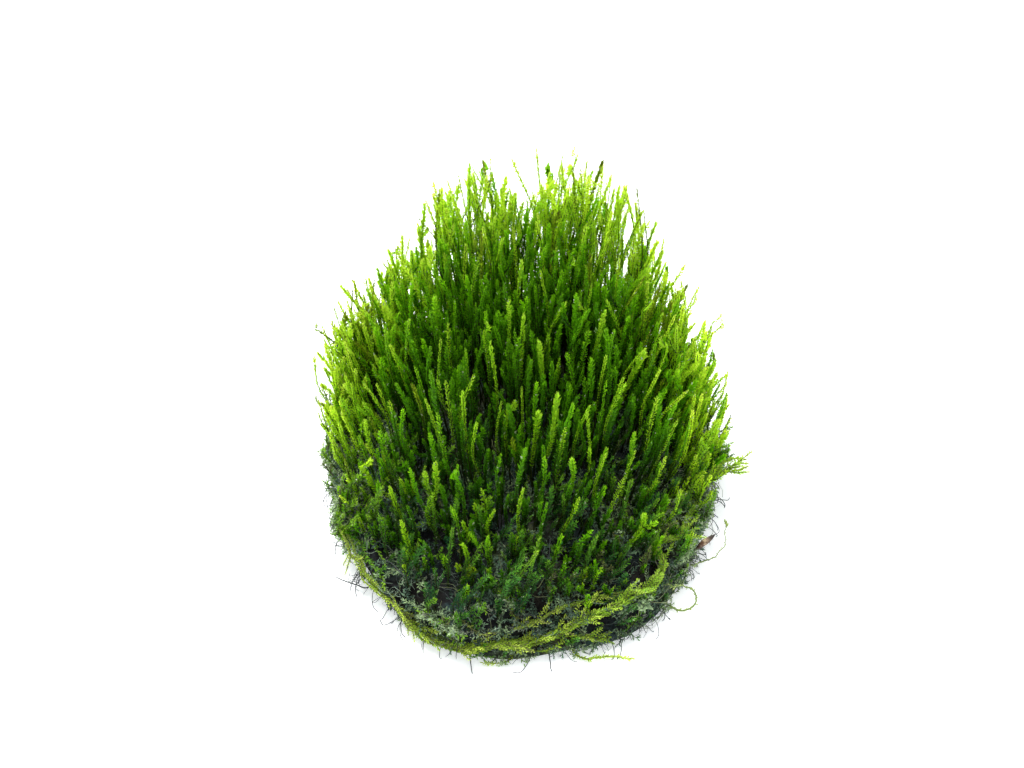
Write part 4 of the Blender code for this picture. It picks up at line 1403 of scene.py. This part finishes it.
def build_runner(number, node):
    """A runner of a few leafy stems that wind round each other, with short branches."""
    stems, size = RUNNER_STEMS[node]
    growth = Growth(300 + number, 100 * MM)
    rng = growth.rng
    line = RUNNER_LINES[node]
    if node in CARRIED_ON:
        other, meeting = CARRIED_ON[node]
        line = np.vstack((line, RUNNER_LINES[other][meeting:meeting + 2]))
    middle = Course(line, UP, 0.0, 80)
    shares = np.linspace(0, 1, max(6, round(middle.length / (1.8 * MM))))
    place, _, side, flat = middle.at(shares)
    to_right = ease(place[:, 0], GREENER_FROM, GREENER_TO)[:, None]
    at_end = ease(place[:, 0], GREENER_TO, FREE_END)[:, None]
    for phase in np.arange(stems) * 2 * math.pi / stems + 0.35:
        turn = (phase + WOUND_ANGLE * shares * middle.length / WOUND_LENGTH)[:, None]
        off = rng.uniform(0.20, 1.00, len(shares))[:, None] * (1 - 0.35 * to_right + at_end) * size * MM
        knots = raised(place + (np.cos(turn) * side + np.sin(turn) * flat) * off, 0.7 * MM)
        course = Course(knots, UP, rng.normal(0, 1.0), 80)
        grow_stem(growth, course, LONG_STEM, 0.16 * MM, 0.12 * MM, 0.5)
        tones = [runner_tone(rng, knots[i]) for i in (0, -1)]
        grow_leaves(growth, course, CREEPING, tones, 0.0, 0.9 * size)
    for _ in range(round(size * middle.length / BRANCH_SPACING)):
        share = rng.uniform(0.02, 0.95)
        start, along, side_way, up_way = middle.at_one(share)
        length = rng.uniform(*BRANCH_LENGTHS) * MM
        away = side_way * rng.choice((-1, 1)) * rng.uniform(0.2, 0.8) + up_way * rng.uniform(0.1, 0.7)
        aim = unit(along + away)
        knots = [start, start + (aim * 0.5 + up_way * 0.08) * length, start + aim * length]
        course = Course(raised(knots, 0.6 * MM), UP, rng.normal(0, 0.6), 14)
        grow_shoot(growth, course, runner_tone(rng, start) + 0.04, SPIKY, 0.1, 0.75 * size, SHORT_STEM)
    add_piece(f"leafy_{node}", growth.join(node), RUNNER_LEAF, "runners", node)


# How each loose strand looks: its half-thickness, what its leaves are like, their size and its material
STRAND_LOOKS = {
    "strand_floor_front": (0.14 * MM, SPIKY, 0.75, RUNNER_LEAF),
    "strand_floor_right": (0.18 * MM, CREEPING, 0.95, RUNNER_LEAF),
    "strand_loop": (0.22 * MM, SCALY, 1.10, PALE_STRAND),
    "strand_right": (0.13 * MM, SCALY, 0.85, PALE_STRAND),
}


def build_strand(number, node):
    """A loose strand, kinked a little along its line, with small leaves."""
    radius, kind, size, material = STRAND_LOOKS[node]
    growth = Growth(400 + number)
    line = line_outward(node)
    line[1:-1] += growth.rng.normal(0, 0.12 * MM, line[1:-1].shape)
    course = Course(raised(line, LOWEST + radius), UP, 0.0, 60)
    grow_stem(growth, course, LONG_STEM, radius, radius * 0.45, 0.5)
    grow_leaves(growth, course, kind, 0.82, 0.0, size)
    if node == "strand_right":
        bud = course.points[-6:]
        grow_shoot(growth, Course(bud, UP, 0.5, 10), 0.7, UPRIGHT, 0.0, 1.0, HAIR)
    add_piece(f"fine_{node}", growth.join(node), material, "strands", node)


THREAD_RADIUS = 0.14 * MM


def build_thread(number, node):
    """A loose dark thread, without leaves."""
    growth = Growth(440 + number)
    course = Course(line_outward(node), UP, 0.0, 60)
    grow_stem(growth, course, LONG_STEM, THREAD_RADIUS, THREAD_RADIUS * 0.6, 0.5)
    add_piece(f"fine_{node}", growth.join(node), DARK_THREAD, "threads", node)


LEAF_TURNS = 1.6
LEAF_RADIUS = 0.46 * MM
LEAF_UNROLLED = 0.22 * MM
LEAF_WALL = 0.07 * MM
# How thick the rolled leaf is along its line: a thin stalk, then a spindle
LEAF_OUTLINE = ((0.0, 0.24, 0.36, 0.58, 0.84, 1.0), (0.24, 0.28, 0.75, 1.0, 0.62, 0.08))


def build_dead_leaf():
    """A dead leaf on its stalk, rolled up along its length and drawn to a point at its far end."""
    line = line_outward("dead_leaf")
    course = Course(line, UP, 0.6, 40)
    bm = bmesh.new()
    bmesh.ops.create_grid(bm, x_segments=22, y_segments=26, size=0.5)
    layer = bm.verts.layers.float.new(ALONG)
    for v in bm.verts:
        rolled = v.co.x + 0.5
        share = v.co.y + 0.5
        v[layer] = share
        slim = np.interp(share, *LEAF_OUTLINE)
        turn = rolled * LEAF_TURNS * 2 * math.pi
        radius = (LEAF_RADIUS + LEAF_UNROLLED * rolled) * slim
        wrinkle = 1 + 0.10 * math.sin(turn * 3 + share * 9)
        place, _, side, flat = course.at_one(share)
        v.co = Vector(place + (math.cos(turn) * side + math.sin(turn) * flat * 0.7) * radius * wrinkle)
    bmesh.ops.solidify(bm, geom=list(bm.faces), thickness=LEAF_WALL)
    bmesh.ops.recalc_face_normals(bm, faces=bm.faces)
    mesh = bpy.data.meshes.new("rolled_dead_leaf")
    bm.to_mesh(mesh)
    bm.free()
    mesh.shade_smooth()
    add_piece("rolled_dead_leaf", mesh, DEAD_BROWN, "dead_leaf", "dead_leaf")


# The whole clump

build_core()
build_mat()
build_fuzz()
build_sprigs()
build_creepers()
build_arcs("pale_arcs", seed=51, count=120, material=PALE_THREAD, radius=0.050 * MM, reach=0.45)
build_arcs("dark_roots", seed=53, count=130, material=DARK_THREAD, radius=0.065 * MM, reach=0.40)
build_fringe()
for i, node in enumerate(TUFTS):
    build_tuft(i + 1, node)
build_strays()
build_rim_shoots()
for i, node in enumerate(RUNNERS):
    build_runner(i, node)
for i, node in enumerate(nodes_named("strand")):
    build_strand(i, node)
for i, node in enumerate(nodes_named("thread")):
    build_thread(i, node)
build_dead_leaf()


# Floor, light and camera

FLOOR_REACH = 3.0
SENSOR_WIDTH = 36.0


def build_floor():
    """A pale floor that glows a little, as the photograph's ground is nearly white."""
    bm = bmesh.new()
    bmesh.ops.create_grid(bm, x_segments=1, y_segments=1, size=FLOOR_REACH)
    mesh = bpy.data.meshes.new("floor")
    bm.to_mesh(mesh)
    bm.free()
    look = Look("pale_floor")
    look.surface({
        "Base Color": (0.93, 0.94, 0.95), "Roughness": 0.9,
        "Emission Color": (0.95, 0.98, 1.0), "Emission Strength": 0.35,
    })
    mesh.materials.append(look.material)
    floor = bpy.data.objects.new("floor", mesh)
    bpy.context.scene.collection.objects.link(floor)


def add_area_light(name, place, aim, size, power):
    light = bpy.data.lights.new(name, "AREA")
    light.shape = "DISK"
    light.size = size
    light.energy = power
    obj = bpy.data.objects.new(name, light)
    obj.location = place
    obj.rotation_euler = (Vector(aim) - Vector(place)).to_track_quat("-Z", "Y").to_euler()
    bpy.context.scene.collection.objects.link(obj)


def light_scene():
    """Even light from all round, and one soft lamp above and behind."""
    world = bpy.data.worlds.new("studio")
    bpy.context.scene.world = world
    world.use_nodes = True
    background = world.node_tree.nodes["Background"]
    background.inputs["Color"].default_value = (0.97, 0.985, 1.0, 1)
    background.inputs["Strength"].default_value = 1.15
    add_area_light("soft_top", place=(-0.12, 0.22, 0.55), aim=(0, 0, 0.02), size=0.25, power=6.0)
    bpy.context.scene.view_settings.view_transform = "Standard"
    bpy.context.scene.view_settings.look = "None"


def place_camera():
    """The camera looks from the photograph's place, with the pad where the photograph has it."""
    back = Vector((0, -math.cos(VIEW_ELEVATION), math.sin(VIEW_ELEVATION)))
    above = Vector((0, math.sin(VIEW_ELEVATION), math.cos(VIEW_ELEVATION)))
    aim = -back * FOCAL_PIXELS
    aim += Vector((1, 0, 0)) * (IMAGE_WIDTH / 2 - PAD_PIXEL_X)
    aim += above * (PAD_PIXEL_Y - IMAGE_HEIGHT / 2)
    data = bpy.data.cameras.new("camera")
    data.sensor_width = SENSOR_WIDTH
    data.lens = FOCAL_PIXELS / IMAGE_WIDTH * data.sensor_width
    camera = bpy.data.objects.new("camera", data)
    camera.location = Vector(PAD_CENTRE) + back * VIEW_DISTANCE
    camera.rotation_euler = aim.to_track_quat("-Z", "Y").to_euler()
    data.clip_start = 0.01
    bpy.context.scene.collection.objects.link(camera)
    bpy.context.scene.camera = camera


build_floor()
light_scene()
place_camera()
